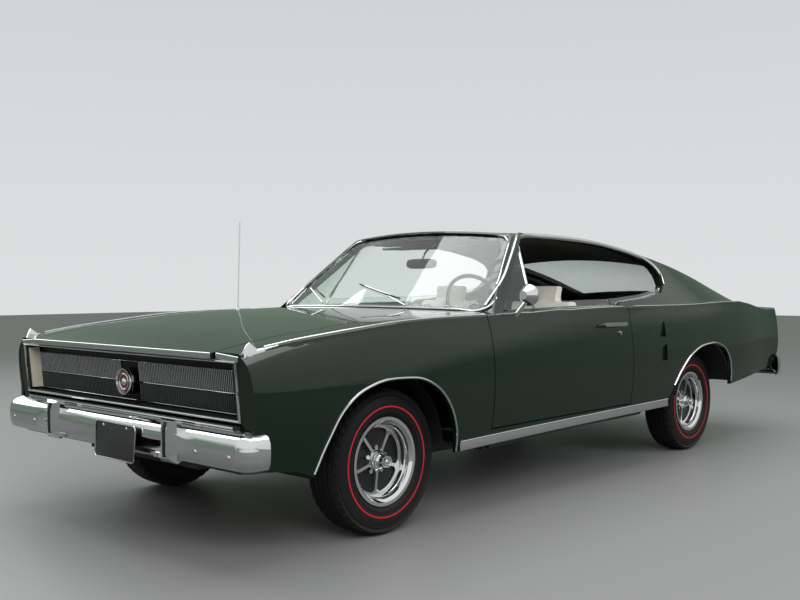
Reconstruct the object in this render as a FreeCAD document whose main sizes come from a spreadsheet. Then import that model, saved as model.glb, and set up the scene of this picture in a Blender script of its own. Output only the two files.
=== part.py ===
import FreeCAD, Part
import os
import Sketcher
from math import asin, cos, radians, sin, sqrt

# Two-door fastback muscle car.
# Frame: X to the car's left, Y to its rear, Z up. The origin lies on the floor at mid length.
# Places along the car are given as distances behind the front axle, through the function aft.

doc = FreeCAD.newDocument("muscle_car")
sheet = doc.addObject("Spreadsheet::Sheet", "Sizes")
Vector = FreeCAD.Vector

# Driving dimensions in millimetres and degrees
SIZES = {
    "overall_length": 5171,
    "front_overhang": 885,
    "wheelbase": 2972,
    "front_track": 1511,
    "rear_track": 1486,
    "tyre_radius": 322,
    "tyre_tread_half": 74,
    "rim_seat_radius": 178,
    "rim_flange_radius": 195,
    "rim_half_width": 80,
    "hub_radius": 66,
    "spindle_radius": 32,
    "spider_radius": 148,
    "spider_face": 20,
    "rib_half_width": 7,
    "pocket_floor": 8,
    "nut_radius": 10,
    "cap_reach": 98,
    "bearing_clearance": 0.05,
    "bolt_circle_radius": 57.15,
    "drum_radius": 140,
    "kingpin_offset": 66,
    "sill_bottom": 308,
    "floor_height": 300,
    "sheet_wall": 20,
    "door_wall": 120,
    "lid_wall": 24,
    "panel_gap": 6,
    "seat_gap": 0.3,
    "glass_thickness": 6,
    "glass_inset": 14,
    "roof_wall": 42,
    "hood_rear": 560,
    "door_front": 650,
    "door_rear": 1987,
    "door_bottom": 406,
    "deck_front": 3960,
    "deck_half": 600,
    "tail_end": 4275,
    "seat_half_spacing": 370,
    "steering_wheel_radius": 200,
    "column_tilt": 22,
}

for row, (alias, amount) in enumerate(SIZES.items(), start=1):
    sheet.set(f"A{row}", alias)
    sheet.set(f"B{row}", str(amount))
    sheet.setAlias(f"B{row}", alias)
doc.recompute()


def size(expression):
    """Value of an expression over the sheet's aliases, such as '2 * Sizes.panel_gap'."""
    return float(sheet.evalExpression(expression))


def named(alias):
    return size("Sizes." + alias)


front_axle = -named("overall_length") / 2 + named("front_overhang")
wheelbase = named("wheelbase")
gap = named("panel_gap")
seat_gap = named("seat_gap")
sheet_wall = named("sheet_wall")
door_wall = named("door_wall")
lid_wall = named("lid_wall")
tyre_radius = named("tyre_radius")


def aft(distance):
    """Y of a place at this distance behind the front axle."""
    return front_axle + distance


AFT = "(Sizes.front_overhang - Sizes.overall_length / 2)"
parts = []


def keep(node, label):
    node.Label = label
    parts.append(node)
    return node


def keep_shape(label, shape):
    """A sub-part whose shape is made with Part's functions."""
    node = doc.addObject("Part::Feature", label)
    node.Shape = shape
    return keep(node, label)


def place(node, across, along, up):
    node.setExpression("Placement.Base.x", across)
    node.setExpression("Placement.Base.y", along)
    node.setExpression("Placement.Base.z", up)


def box_node(name, length, width, height, across, along, up):
    """Box of bound sizes: length in X, width in Y, height in Z, placed by its low corner."""
    node = doc.addObject("Part::Box", name)
    node.setExpression("Length", length)
    node.setExpression("Width", width)
    node.setExpression("Height", height)
    place(node, across, along, up)
    return node


def rod_node(name, radius, length, across, along, up, axis="Z"):
    """Cylinder of bound sizes whose axis runs along X, Y or Z from its base point."""
    node = doc.addObject("Part::Cylinder", name)
    turns = {
        "X": FreeCAD.Rotation(Vector(0, 1, 0), 90),
        "Y": FreeCAD.Rotation(Vector(1, 0, 0), -90),
        "Z": FreeCAD.Rotation(),
    }
    node.Placement = FreeCAD.Placement(Vector(), turns[axis])
    node.setExpression("Radius", radius)
    node.setExpression("Height", length)
    place(node, across, along, up)
    return node


def fuse_nodes(name, pieces):
    node = doc.addObject("Part::MultiFuse", name)
    node.Shapes = pieces
    return node


def box(x0, x1, y0, y1, z0, z1):
    return Part.makeBox(x1 - x0, y1 - y0, z1 - z0, Vector(x0, y0, z0))


def spline(points):
    curve = Part.BSplineCurve()
    curve.interpolate([Vector(*point) for point in points])
    return curve.toShape()


def line(start, end):
    return Part.makeLine(Vector(*start), Vector(*end))


def side_prism(outline, x0, x1):
    """Prism along X over an outline of (distance behind the front axle, height) corners."""
    corners = [Vector(x0, aft(along), up) for along, up in outline]
    face = Part.Face(Part.makePolygon(corners + corners[:1]))
    return face.extrude(Vector(x1 - x0, 0, 0))


def plan_prism(outline, z0, z1):
    """Prism along Z over an outline of (across, distance behind the front axle) corners."""
    corners = [Vector(across, aft(along), z0) for across, along in outline]
    face = Part.Face(Part.makePolygon(corners + corners[:1]))
    return face.extrude(Vector(0, 0, z1 - z0))


def mirrored(shape):
    return shape.mirror(Vector(0, 0, 0), Vector(1, 0, 0))


def joined(shapes):
    first, *others = shapes
    return first.multiFuse(others).removeSplitter()


# Lower body
# Stations: distance behind the front axle, half widths at sill top, at the widest height,
# high on the side and at the fender peak, then the heights of the peak and of the centre line.
BODY_STATIONS = [
    (-900, 884, 908, 874, 850, 820, 822),
    (-760, 896, 920, 890, 860, 846, 852),
    (-560, 908, 934, 910, 870, 876, 890),
    (-300, 922, 945, 925, 882, 903, 918),
    (0, 932, 952, 935, 891, 931, 944),
    (560, 926, 946, 934, 898, 948, 970),
    (1300, 921, 943, 932, 905, 965, 992),
    (2100, 930, 950, 939, 908, 972, 996),
    (2979, 944, 956, 946, 906, 976, 992),
    (3700, 932, 946, 934, 901, 967, 982),
    (4350, 900, 912, 900, 886, 932, 944),
]
SILL_TOP = 395
WIDEST_HEIGHT = 620
HIGH_SIDE = 800
PEAK_RADIUS = 14
BOTTOM_TUCK = 16


def body_section(station, wall, top_wall, bottom):
    """Closed cross-section of the lower body, drawn in by a side wall and a top wall."""
    along, low, widest, high, peak, peak_height, crown = station
    y = aft(along)
    low, widest, high, peak = (half - wall for half in (low, widest, high, peak))
    peak_height -= top_wall
    crown -= top_wall
    corner_height = peak_height - PEAK_RADIUS
    shoulder = peak - PEAK_RADIUS

    def side(sign):
        return spline([
            (sign * (low - BOTTOM_TUCK), y, bottom),
            (sign * low, y, SILL_TOP),
            (sign * widest, y, WIDEST_HEIGHT),
            (sign * high, y, HIGH_SIDE),
            (sign * peak, y, corner_height),
        ])

    def corner(sign):
        bend = PEAK_RADIUS * (1 - cos(radians(45)))
        middle = Vector(sign * (peak - bend), y, peak_height - bend)
        start = Vector(sign * peak, y, corner_height)
        return Part.Arc(start, middle, Vector(sign * shoulder, y, peak_height)).toShape()

    def crown_height(across):
        return crown - (crown - peak_height) * (across / shoulder) ** 2

    top = spline([(across, y, crown_height(across))
                  for across in (shoulder, shoulder / 2, 0, -shoulder / 2, -shoulder)])
    floor_line = line((-(low - BOTTOM_TUCK), y, bottom), (low - BOTTOM_TUCK, y, bottom))
    return Part.Wire(Part.sortEdges([floor_line, side(1), corner(1), top, corner(-1), side(-1)])[0])


def body_envelope(wall=0, top_wall=0, bottom=None):
    if bottom is None:
        bottom = named("sill_bottom")
    wires = [body_section(station, wall, top_wall, bottom) for station in BODY_STATIONS]
    return Part.makeLoft(wires, True)


# Roof, pillars and sails
# Stations: distance behind the front axle, half width at the foot, half width and height of
# the roof edge, height of the centre line. The foot lies inside the lower body.
ROOF_STATIONS = [
    (560, 914, 594, 1368, 1396),
    (1273, 898, 604, 1373, 1402),
    (1573, 896, 608, 1376, 1411),
    (2044, 896, 616, 1362, 1408),
    (2400, 898, 632, 1324, 1374),
    (2700, 900, 642, 1280, 1330),
    (3000, 902, 644, 1230, 1278),
    (3350, 898, 644, 1157, 1202),
    (3700, 882, 648, 1066, 1104),
    (4000, 846, 656, 988, 1018),
    (4240, 806, 660, 924, 950),
]
ROOF_FOOT = 820
EDGE_RADIUS = 30


def roof_section(station, wall):
    """Closed cross-section of the greenhouse, drawn in by one wall thickness."""
    along, foot, edge, edge_height, crown = station
    y = aft(along)
    foot -= wall
    edge -= wall * 0.9
    edge_height -= wall
    crown -= wall
    lean = Vector(foot - edge, 0, ROOF_FOOT - edge_height).normalize()
    low = Vector(edge, y, edge_height) + lean * EDGE_RADIUS
    inner = Vector(edge - EDGE_RADIUS, y, edge_height + EDGE_RADIUS * 0.12)
    bend = Vector(edge - EDGE_RADIUS * 0.22, y, edge_height - EDGE_RADIUS * 0.16)
    waist = Vector((foot + low.x) / 2 + 4, y, (ROOF_FOOT + low.z) / 2)

    def flip(point):
        return Vector(-point.x, point.y, point.z)

    def side(turn):
        return Part.Arc(*(turn(point) for point in (Vector(foot, y, ROOF_FOOT), waist, low))).toShape()

    def corner(turn):
        return Part.Arc(*(turn(point) for point in (low, bend, inner))).toShape()

    top = Part.Arc(inner, Vector(0, y, crown), flip(inner)).toShape()
    foot_line = line((-foot, y, ROOF_FOOT), (foot, y, ROOF_FOOT))
    edges = [foot_line, side(Vector), corner(Vector), top, corner(flip), side(flip)]
    return Part.Wire(Part.sortEdges(edges)[0])


def roof_envelope(wall=0):
    return Part.makeLoft([roof_section(station, wall) for station in ROOF_STATIONS], True)


# Windscreen: a curved surface, ruled from a low bow to a high bow
SCREEN_LOW = {"height": 930, "centre": 595, "corner": 762, "half": 779}
SCREEN_HIGH = {"height": 1460, "centre": 1269, "corner": 1365, "half": 568}
SCREEN_REACH = 950


def screen_bow(bow, setback):
    """Bow of the windscreen at one height, closed round the space before it."""
    depth = bow["corner"] - bow["centre"]
    radius = (bow["half"] ** 2 + depth ** 2) / (2 * depth)
    end = bow["centre"] + radius - sqrt(radius ** 2 - SCREEN_REACH ** 2)
    z = bow["height"]
    centre = Vector(0, aft(bow["centre"] + setback), z)
    left = Vector(SCREEN_REACH, aft(end + setback), z)
    right = Vector(-SCREEN_REACH, aft(end + setback), z)
    ahead = aft(-200)
    arc = Part.Arc(right, centre, left).toShape()
    edges = [
        arc,
        Part.makeLine(left, Vector(SCREEN_REACH, ahead, z)),
        Part.makeLine(Vector(SCREEN_REACH, ahead, z), Vector(-SCREEN_REACH, ahead, z)),
        Part.makeLine(Vector(-SCREEN_REACH, ahead, z), right),
    ]
    return Part.Wire(edges)


def space_before_screen(setback=0):
    return Part.makeLoft([screen_bow(SCREEN_LOW, setback), screen_bow(SCREEN_HIGH, setback)], True, True)


body_outer = body_envelope()
body_cavity = body_envelope(sheet_wall, lid_wall, 180)
body_shell = body_outer.cut(body_cavity)
roof_outer = roof_envelope()
roof_cavity = roof_envelope(named("roof_wall"))
before_screen = space_before_screen()

# Wheel arches in side view
FRONT_ARCH = [(-492, 290), (-480, 345), (-425, 475), (-335, 603), (-200, 672), (0, 690),
              (160, 662), (290, 566), (362, 430), (380, 290)]
REAR_ARCH = [(2430, 290), (2452, 384), (2510, 470), (2610, 570), (2765, 662), (2965, 704),
             (3150, 690), (3268, 620), (3312, 500), (3316, 290)]


def arch_cutter(outline, x0, x1):
    lip = spline([(x0, aft(along), up) for along, up in outline])
    start, end = outline[0], outline[-1]
    closing = line((x0, aft(end[0]), end[1]), (x0, aft(start[0]), start[1]))
    return Part.Face(Part.Wire([lip, closing])).extrude(Vector(x1 - x0, 0, 0))


ARCH_REACH = 1000
front_arch = arch_cutter(FRONT_ARCH, 700, ARCH_REACH)
rear_arch = arch_cutter(REAR_ARCH, 700, ARCH_REACH)

# Hood shut line: half widths at the nose and at the cowl
NOSE = -829
HOOD_FRONT_HALF = 700
HOOD_REAR_HALF = 736
GRILLE_HALF = 832
RETURN_HALF = GRILLE_HALF + seat_gap
hood_rear = named("hood_rear")
door_front = named("door_front")
door_rear = named("door_rear")


def hood_outline(margin, rear):
    """Plan outline of the hood, grown by a margin and carried back to a rear line."""
    front_half = HOOD_FRONT_HALF + margin
    rear_half = HOOD_REAR_HALF + margin
    return [(-front_half, NOSE - 60), (front_half, NOSE - 60), (rear_half, rear), (-rear_half, rear)]


# Nose plane leans forward towards the top
FENDER_SIDE = [(-822, 1000), (-812, 800), (-792, 585), (-800, 430), (-782, 392), (-560, 366),
               (-480, 330), (600, 322), (door_front - gap / 2, 322), (door_front - gap / 2, 1000)]
hood_opening = plan_prism(hood_outline(gap / 2, hood_rear + 2 * gap), 700, 1100)
COWL_REAR = 900
COWL_HALF = 800
cowl_plan = [(-HOOD_REAR_HALF, hood_rear + gap / 2), (HOOD_REAR_HALF, hood_rear + gap / 2),
             (HOOD_REAR_HALF, door_front), (COWL_HALF - 14, door_front + 2 * gap),
             (COWL_HALF - 14, COWL_REAR), (14 - COWL_HALF, COWL_REAR),
             (14 - COWL_HALF, door_front + 2 * gap), (-HOOD_REAR_HALF, door_front)]
cowl_region = plan_prism(cowl_plan, 880, 1100)

# Each fender's front edge is folded in towards the grille
nose_return = side_prism([(-786, 400), (-774, 400), (-780, 585), (-798, 800), (-810, 800), (-790, 585)],
                         RETURN_HALF, ARCH_REACH)
fender = body_shell.common(side_prism(FENDER_SIDE, 0, ARCH_REACH))
fender = fender.cut(front_arch).cut(hood_opening).cut(cowl_region)
fender = fender.cut(box(0, HOOD_REAR_HALF, aft(-900), aft(door_front), 200, 780))
fender = joined([fender, nose_return.common(body_cavity)])
keep_shape("fender_left", fender)
keep_shape("fender_right", mirrored(fender))

HOOD_SIDE = [(NOSE, 812), (NOSE, 900), (-700, 1100), (hood_rear - gap / 2, 1100), (hood_rear - gap / 2, 700),
             (-700, 700), (-780, 812)]
hood = body_shell.common(side_prism(HOOD_SIDE, -ARCH_REACH, ARCH_REACH))
hood = hood.common(plan_prism(hood_outline(-gap / 2, hood_rear + 60), 700, 1100))
keep_shape("hood", hood)

# Cowl and firewall; the firewall reaches both fenders, where it carries the doors
FIREWALL = 622
FIREWALL_WALL = 16
cowl_top = body_shell.common(cowl_region)
firewall = box(-900, 900, aft(FIREWALL), aft(FIREWALL + FIREWALL_WALL), named("floor_height"), 1000)
TUNNEL_HALF = 120
TUNNEL_TOP = 470
firewall = firewall.common(body_cavity)
firewall = firewall.cut(box(8 - TUNNEL_HALF, TUNNEL_HALF - 8, aft(600), aft(700), 200, TUNNEL_TOP - 8))
cowl = joined([cowl_top, firewall])
keep_shape("cowl_firewall", cowl)

CABIN_HALF = 784

# Doors: a skin and a thicker inner part that stands back from the shut lines
door_bottom = named("door_bottom")
JAMB_STEP = 14
door_cavity = body_envelope(door_wall, door_wall, 180)


def door_region(step):
    edges = [(door_front + gap / 2 + step, door_bottom + step),
             (door_rear - gap / 2 - step, door_bottom + step),
             (door_rear - gap / 2 - step, 1100), (door_front + gap / 2 + step, 1100)]
    return side_prism(edges, 0, ARCH_REACH)


door_wall_solid = body_outer.cut(door_cavity)
door_skin = body_shell.common(door_region(0))
door_inner = door_wall_solid.common(body_cavity).common(door_region(JAMB_STEP))
door = joined([door_skin, door_inner]).cut(box(0, CABIN_HALF + 2, aft(0), aft(3000), 200, 1100))
keep_shape("door_left", door)
keep_shape("door_right", mirrored(door))

# Quarter panels with the latch post at their front edge
TAIL = named("tail_end")
QUARTER_SIDE = [(door_rear + gap / 2, 404), (2470, 404), (3290, 417), (3637, 447), (4107, 486),
                (4150, 490), (TAIL - 22, 594), (TAIL, 687), (TAIL, 825),
                (TAIL - 30, 1100), (door_rear + gap / 2, 1100)]
quarter_side = side_prism(QUARTER_SIDE, 0, ARCH_REACH)
deck_front = named("deck_front")
deck_half = named("deck_half")
cabin_plan = [(-CABIN_HALF, COWL_REAR), (CABIN_HALF, COWL_REAR), (CABIN_HALF, 2750), (720, 3100),
              (deck_half + gap / 2, deck_front - 60), (deck_half + gap / 2, TAIL + 100),
              (-deck_half - gap / 2, TAIL + 100), (-deck_half - gap / 2, deck_front - 60),
              (-720, 3100), (-CABIN_HALF, 2750)]
cabin_opening = plan_prism(cabin_plan, 700, 1100)
quarter_skin = body_shell.common(quarter_side).cut(cabin_opening)
latch_post = door_wall_solid.common(quarter_side)
latch_post = latch_post.common(box(0, ARCH_REACH, aft(door_rear), aft(door_rear + 90), 300, 1100))
latch_post = latch_post.cut(cabin_opening)
quarter = joined([quarter_skin, latch_post]).cut(rear_arch)
quarter = quarter.cut(box(0, 700, aft(1900), aft(4400), 200, 800))


# Two mock scoops behind each door: hollows that deepen rearwards and end in a step
def scoop(front, front_low, front_high, rear_low, rear_high):
    depth_line = [(ARCH_REACH, front[0]), (front[1], front[0]), (front[1] - SCOOP_DEPTH, front[2]),
                  (ARCH_REACH, front[2])]
    window = side_prism([(front[0], front_low), (front[2], rear_low), (front[2], rear_high),
                         (front[0], front_high)], 700, ARCH_REACH)
    return plan_prism(depth_line, 500, 1000).common(window)


SCOOP_DEPTH = 18
upper_scoop = scoop((2140, 944, 2395), 786, 790, 778, 872)
lower_scoop = scoop((2045, 953, 2400), 642, 646, 634, 734)
quarter = quarter.cut(upper_scoop).cut(lower_scoop)
quarter = max(quarter.Solids, key=lambda solid: solid.Volume)
keep_shape("quarter_right", mirrored(quarter))

# Fuel door: a shallow groove round a rounded plate, on the left side only
FUEL_GROOVE = 3
FUEL_DOOR = [(3805, 806), (3805, 912), (3965, 912), (3965, 806)]
groove_layer = body_outer.cut(body_envelope(FUEL_GROOVE, FUEL_GROOVE, 300))
fuel_plate = side_prism(FUEL_DOOR, 800, ARCH_REACH)
fuel_inner = side_prism([(along + (FUEL_GROOVE if along < 3900 else -FUEL_GROOVE),
                          up + (FUEL_GROOVE if up < 850 else -FUEL_GROOVE)) for along, up in FUEL_DOOR],
                        790, ARCH_REACH + 10)
quarter_fuel = quarter.cut(groove_layer.common(fuel_plate.cut(fuel_inner)))
keep_shape("quarter_left", max(quarter_fuel.Solids, key=lambda solid: solid.Volume))

# Sills: closed box sections below the doors
sill = body_envelope(0, 0).cut(body_envelope(110, 0, 180))
SILL_SIDE = [(door_front - gap / 2 + seat_gap, named("sill_bottom")), (2440, named("sill_bottom") + 42),
             (2440, 404), (door_rear, 404 - seat_gap), (door_rear, door_bottom - gap),
             (door_front - gap / 2 + seat_gap, door_bottom - gap)]
sill = sill.common(side_prism(SILL_SIDE, 500, ARCH_REACH)).cut(rear_arch)
keep_shape("sills", Part.makeCompound([sill, mirrored(sill)]))

# Roof with its pillars and sails, and the openings for the glass
SIDE_OPENING = [(896, 960), (1322, 1352), (1400, 1362), (1573, 1362), (2044, 1346), (2264, 1324),
                (2543, 1278), (2680, 1243), (2748, 1200), (2762, 1150), (2735, 1090), (2655, 1046),
                (2396, 1012), (2070, 992), (2000, 960)]
side_opening = side_prism(SIDE_OPENING, 500, ARCH_REACH)
REAR_GLASS_PLAN = [(-560, 2800), (560, 2800), (545, 3880), (-545, 3880)]
glass_inset = named("glass_inset")
glass = named("glass_thickness")
rebate_floor = roof_envelope(glass_inset)
glass_face = roof_envelope(glass_inset - glass)
rear_glass_plan = plan_prism(REAR_GLASS_PLAN, 900, 1500)
REBATE = 22
rear_opening = plan_prism([(x * (1 - REBATE / 560), y + (REBATE if y < 3000 else -REBATE))
                           for x, y in REAR_GLASS_PLAN], 900, 1500)
roof = roof_outer.cut(roof_cavity).cut(before_screen)
roof = roof.cut(side_opening).cut(mirrored(side_opening)).cut(rear_opening)
roof = roof.cut(rear_glass_plan.cut(rebate_floor))
screen_back = space_before_screen(24)
screen_front = space_before_screen(24 - glass)
screen_rebate = roof_envelope(10).common(screen_back)
roof = roof.cut(screen_rebate)
zone_half = deck_half + gap / 2
lid_half = deck_half - gap / 2
deck_zone = plan_prism([(-zone_half, deck_front - gap / 2), (zone_half, deck_front - gap / 2),
                        (zone_half, TAIL + 100), (-zone_half, TAIL + 100)], 700, 1200)
roof = roof.cut(deck_zone).cut(body_outer.common(box(-1000, 1000, aft(500), aft(4400), 300, 1100)))
roof = max(roof.Solids, key=lambda solid: solid.Volume)
keep_shape("roof", roof)

screen = screen_rebate.cut(screen_front).cut(body_outer)
screen = max(screen.Solids, key=lambda solid: solid.Volume)
keep_shape("windscreen", screen)
rear_glass = rear_glass_plan.common(glass_face).cut(rebate_floor)
keep_shape("rear_glass", rear_glass)
pane = roof_envelope(glass_inset + 4).cut(roof_envelope(glass_inset + 4 + glass)).cut(body_outer)


def shrunk_prism(outline, margin):
    corners = [Vector(500, aft(along), up) for along, up in outline]
    wire = Part.makePolygon(corners + corners[:1])
    return Part.Face(wire.makeOffset2D(-margin)).extrude(Vector(500, 0, 0))


# Side windows are wound down: a fixed vent pane stays, and the panes' top edges stand above the belt
DOOR_GLASS_REAR = door_rear - 12
VENT_TOP = (1318, 1352)
VENT_FOOT = (1172, 960)
opening_space = shrunk_prism(SIDE_OPENING, gap)
vent_zone = side_prism([(700, 900), VENT_FOOT, VENT_TOP, (1318, 1500), (700, 1500)], 500, ARCH_REACH)
vent_pane = pane.common(opening_space).common(vent_zone)
lowered_zone = side_prism([(VENT_FOOT[0] + 24, 900), (DOOR_GLASS_REAR, 900), (DOOR_GLASS_REAR, 1010),
                           (VENT_FOOT[0] + 24, 1004)], 500, ARCH_REACH)
lowered_pane = pane.common(opening_space).common(lowered_zone)
door_glass = Part.makeCompound([max(piece.Solids, key=lambda solid: solid.Volume)
                                for piece in (vent_pane, lowered_pane)])
keep_shape("door_glass_left", door_glass)
keep_shape("door_glass_right", mirrored(door_glass))
quarter_zone = side_prism([(DOOR_GLASS_REAR + 10, 900), (2700, 900), (2700, 1082), (2655, 1068), (2396, 1034),
                           (2070, 1014), (DOOR_GLASS_REAR + 10, 1010)], 500, ARCH_REACH)
quarter_glass = pane.common(shrunk_prism(SIDE_OPENING, seat_gap)).common(quarter_zone)
quarter_glass = max(quarter_glass.Solids, key=lambda solid: solid.Volume)
keep_shape("quarter_glass", Part.makeCompound([quarter_glass, mirrored(quarter_glass)]))

# Deck lid
deck = body_outer.fuse(roof_outer).cut(body_cavity).cut(roof_envelope(lid_wall))
deck = deck.common(plan_prism([(-lid_half, deck_front + gap / 2), (lid_half, deck_front + gap / 2),
                               (lid_half, TAIL - 8), (-lid_half, TAIL - 8)], 860, 1200))
deck = max(deck.Solids, key=lambda solid: solid.Volume)
keep_shape("deck_lid", deck)


# Sketch helper: a closed profile whose corners are bound to the sheet.
# A corner may carry the radius of the arc that leads to the next corner, which bulges to the
# right of the way there, or to its left where the radius is negative.
def bound_profile(body, name, role, corners):
    sketch = body.newObject("Sketcher::SketchObject", name)
    plane = [item for item in body.Origin.OriginFeatures if item.Role == role][0]
    sketch.AttachmentSupport = [(plane, "")]
    sketch.MapMode = "FlatFace"
    spots = [Vector(size(corner[0]), size(corner[1]), 0) for corner in corners]
    ends = []
    for index, corner in enumerate(corners):
        start = spots[index]
        end = spots[(index + 1) % len(corners)]
        if len(corner) == 3:
            radius = size(corner[2])
            chord = end - start
            right = Vector(chord.y, -chord.x, 0).normalize()
            rise = abs(radius) - sqrt(radius ** 2 - (chord.Length / 2) ** 2)
            middle = (start + end) * 0.5 + right * (rise if radius > 0 else -rise)
            edge = Part.Arc(start, middle, end)
        else:
            edge = Part.LineSegment(start, end)
        sketch.addGeometry(edge)
        starts_first = sketch.getPoint(index, 1).distanceToPoint(start) < 0.001
        ends.append((1, 2) if starts_first else (2, 1))
    for index, corner in enumerate(corners):
        before = (index - 1) % len(corners)
        sketch.addConstraint(Sketcher.Constraint("Coincident", index, ends[index][0],
                                                 before, ends[before][1]))
        for kind, expression, amount in (("DistanceX", corner[0], spots[index].x),
                                         ("DistanceY", corner[1], spots[index].y)):
            number = sketch.addConstraint(Sketcher.Constraint(kind, index, ends[index][0], amount))
            sketch.setExpression(f"Constraints[{number}]", expression)
        if len(corner) == 3:
            radius = size(corner[2])
            number = sketch.addConstraint(Sketcher.Constraint("Radius", index, abs(radius)))
            sketch.setExpression(f"Constraints[{number}]", corner[2] if radius > 0 else f"-({corner[2]})")
    return sketch


def origin_axis(body, role):
    return ([item for item in body.Origin.OriginFeatures if item.Role == role][0], [""])


def turned(body, name, corners):
    """Solid of revolution about the axle, from a profile of (along the axle, radius) corners."""
    sketch = bound_profile(body, name + "_profile", "XZ_Plane", corners)
    turn = body.newObject("PartDesign::Revolution", name)
    turn.Profile = sketch
    turn.ReferenceAxis = origin_axis(body, "X_Axis")
    turn.Angle = 360
    return turn


S = "Sizes."
WHEELS = {
    "front_left": (1, "Sizes.front_track / 2", AFT),
    "front_right": (-1, "Sizes.front_track / 2", AFT),
    "rear_left": (1, "Sizes.rear_track / 2", AFT + " + Sizes.wheelbase"),
    "rear_right": (-1, "Sizes.rear_track / 2", AFT + " + Sizes.wheelbase"),
}


def stand_at_wheel(body, side, half_track, along):
    """Puts a body made about the axle at a wheel, turned so that its outer face looks outward."""
    turn = FreeCAD.Rotation(Vector(0, 0, 1), 0 if side > 0 else 180)
    body.Placement = FreeCAD.Placement(Vector(), turn)
    place(body, f"{side} * {half_track}", along, S + "tyre_radius")


def make_tyre(corner, side, half_track, along):
    body = doc.addObject("PartDesign::Body", "tyre_" + corner)
    seat = "(Sizes.rim_seat_radius + Sizes.seat_gap)"
    bead = "(Sizes.rim_half_width - 6 - Sizes.seat_gap)"
    tread = "Sizes.tyre_tread_half"
    turned(body, "carcass_" + corner, [
        (bead, seat),
        (bead, "Sizes.rim_flange_radius + 1"),
        ("Sizes.rim_half_width - 2", "Sizes.rim_flange_radius + 6", "140"),
        (tread + " + 11", "Sizes.tyre_radius - 14", "16"),
        (tread, "Sizes.tyre_radius"),
        ("-" + tread, "Sizes.tyre_radius", "16"),
        ("-" + tread + " - 11", "Sizes.tyre_radius - 14", "140"),
        ("2 - Sizes.rim_half_width", "Sizes.rim_flange_radius + 6"),
        ("-" + bead, "Sizes.rim_flange_radius + 1"),
        ("-" + bead, seat),
        ("-Sizes.rim_half_width + 20", seat),
        ("-" + tread + " + 4", "Sizes.tyre_radius - 20"),
        (tread + " - 4", "Sizes.tyre_radius - 20"),
        ("Sizes.rim_half_width - 20", seat),
    ])
    stand_at_wheel(body, side, half_track, along)
    keep(body, "tyre_" + corner)


SPOKES = 5
HALF_PITCH = radians(180 / SPOKES)


def pocket_corners():
    """Outline of one pocket between two ribs: straight flanks and rounded outer corners."""
    rib = named("rib_half_width")
    reach = named("spider_radius") - 4
    round_corner = 20
    inner = named("hub_radius") - 12
    lean = (sin(HALF_PITCH), cos(HALF_PITCH))
    turn = HALF_PITCH - asin((round_corner + rib) / (reach - round_corner))
    centre = ((reach - round_corner) * sin(turn), (reach - round_corner) * cos(turn))
    start = (inner * lean[0] - rib * lean[1], inner * lean[1] + rib * lean[0])
    flank = (centre[0] + round_corner * lean[1], centre[1] - round_corner * lean[0])
    outer = (centre[0] * reach / (reach - round_corner), centre[1] * reach / (reach - round_corner))
    right = [start, flank + (round_corner,), outer + (reach,)]
    left = [(-outer[0], outer[1], round_corner), (-flank[0], flank[1]), (-start[0], start[1])]
    return [tuple(f"{value:.4f}" for value in corner) for corner in right + left]


POCKET = pocket_corners()


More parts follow.
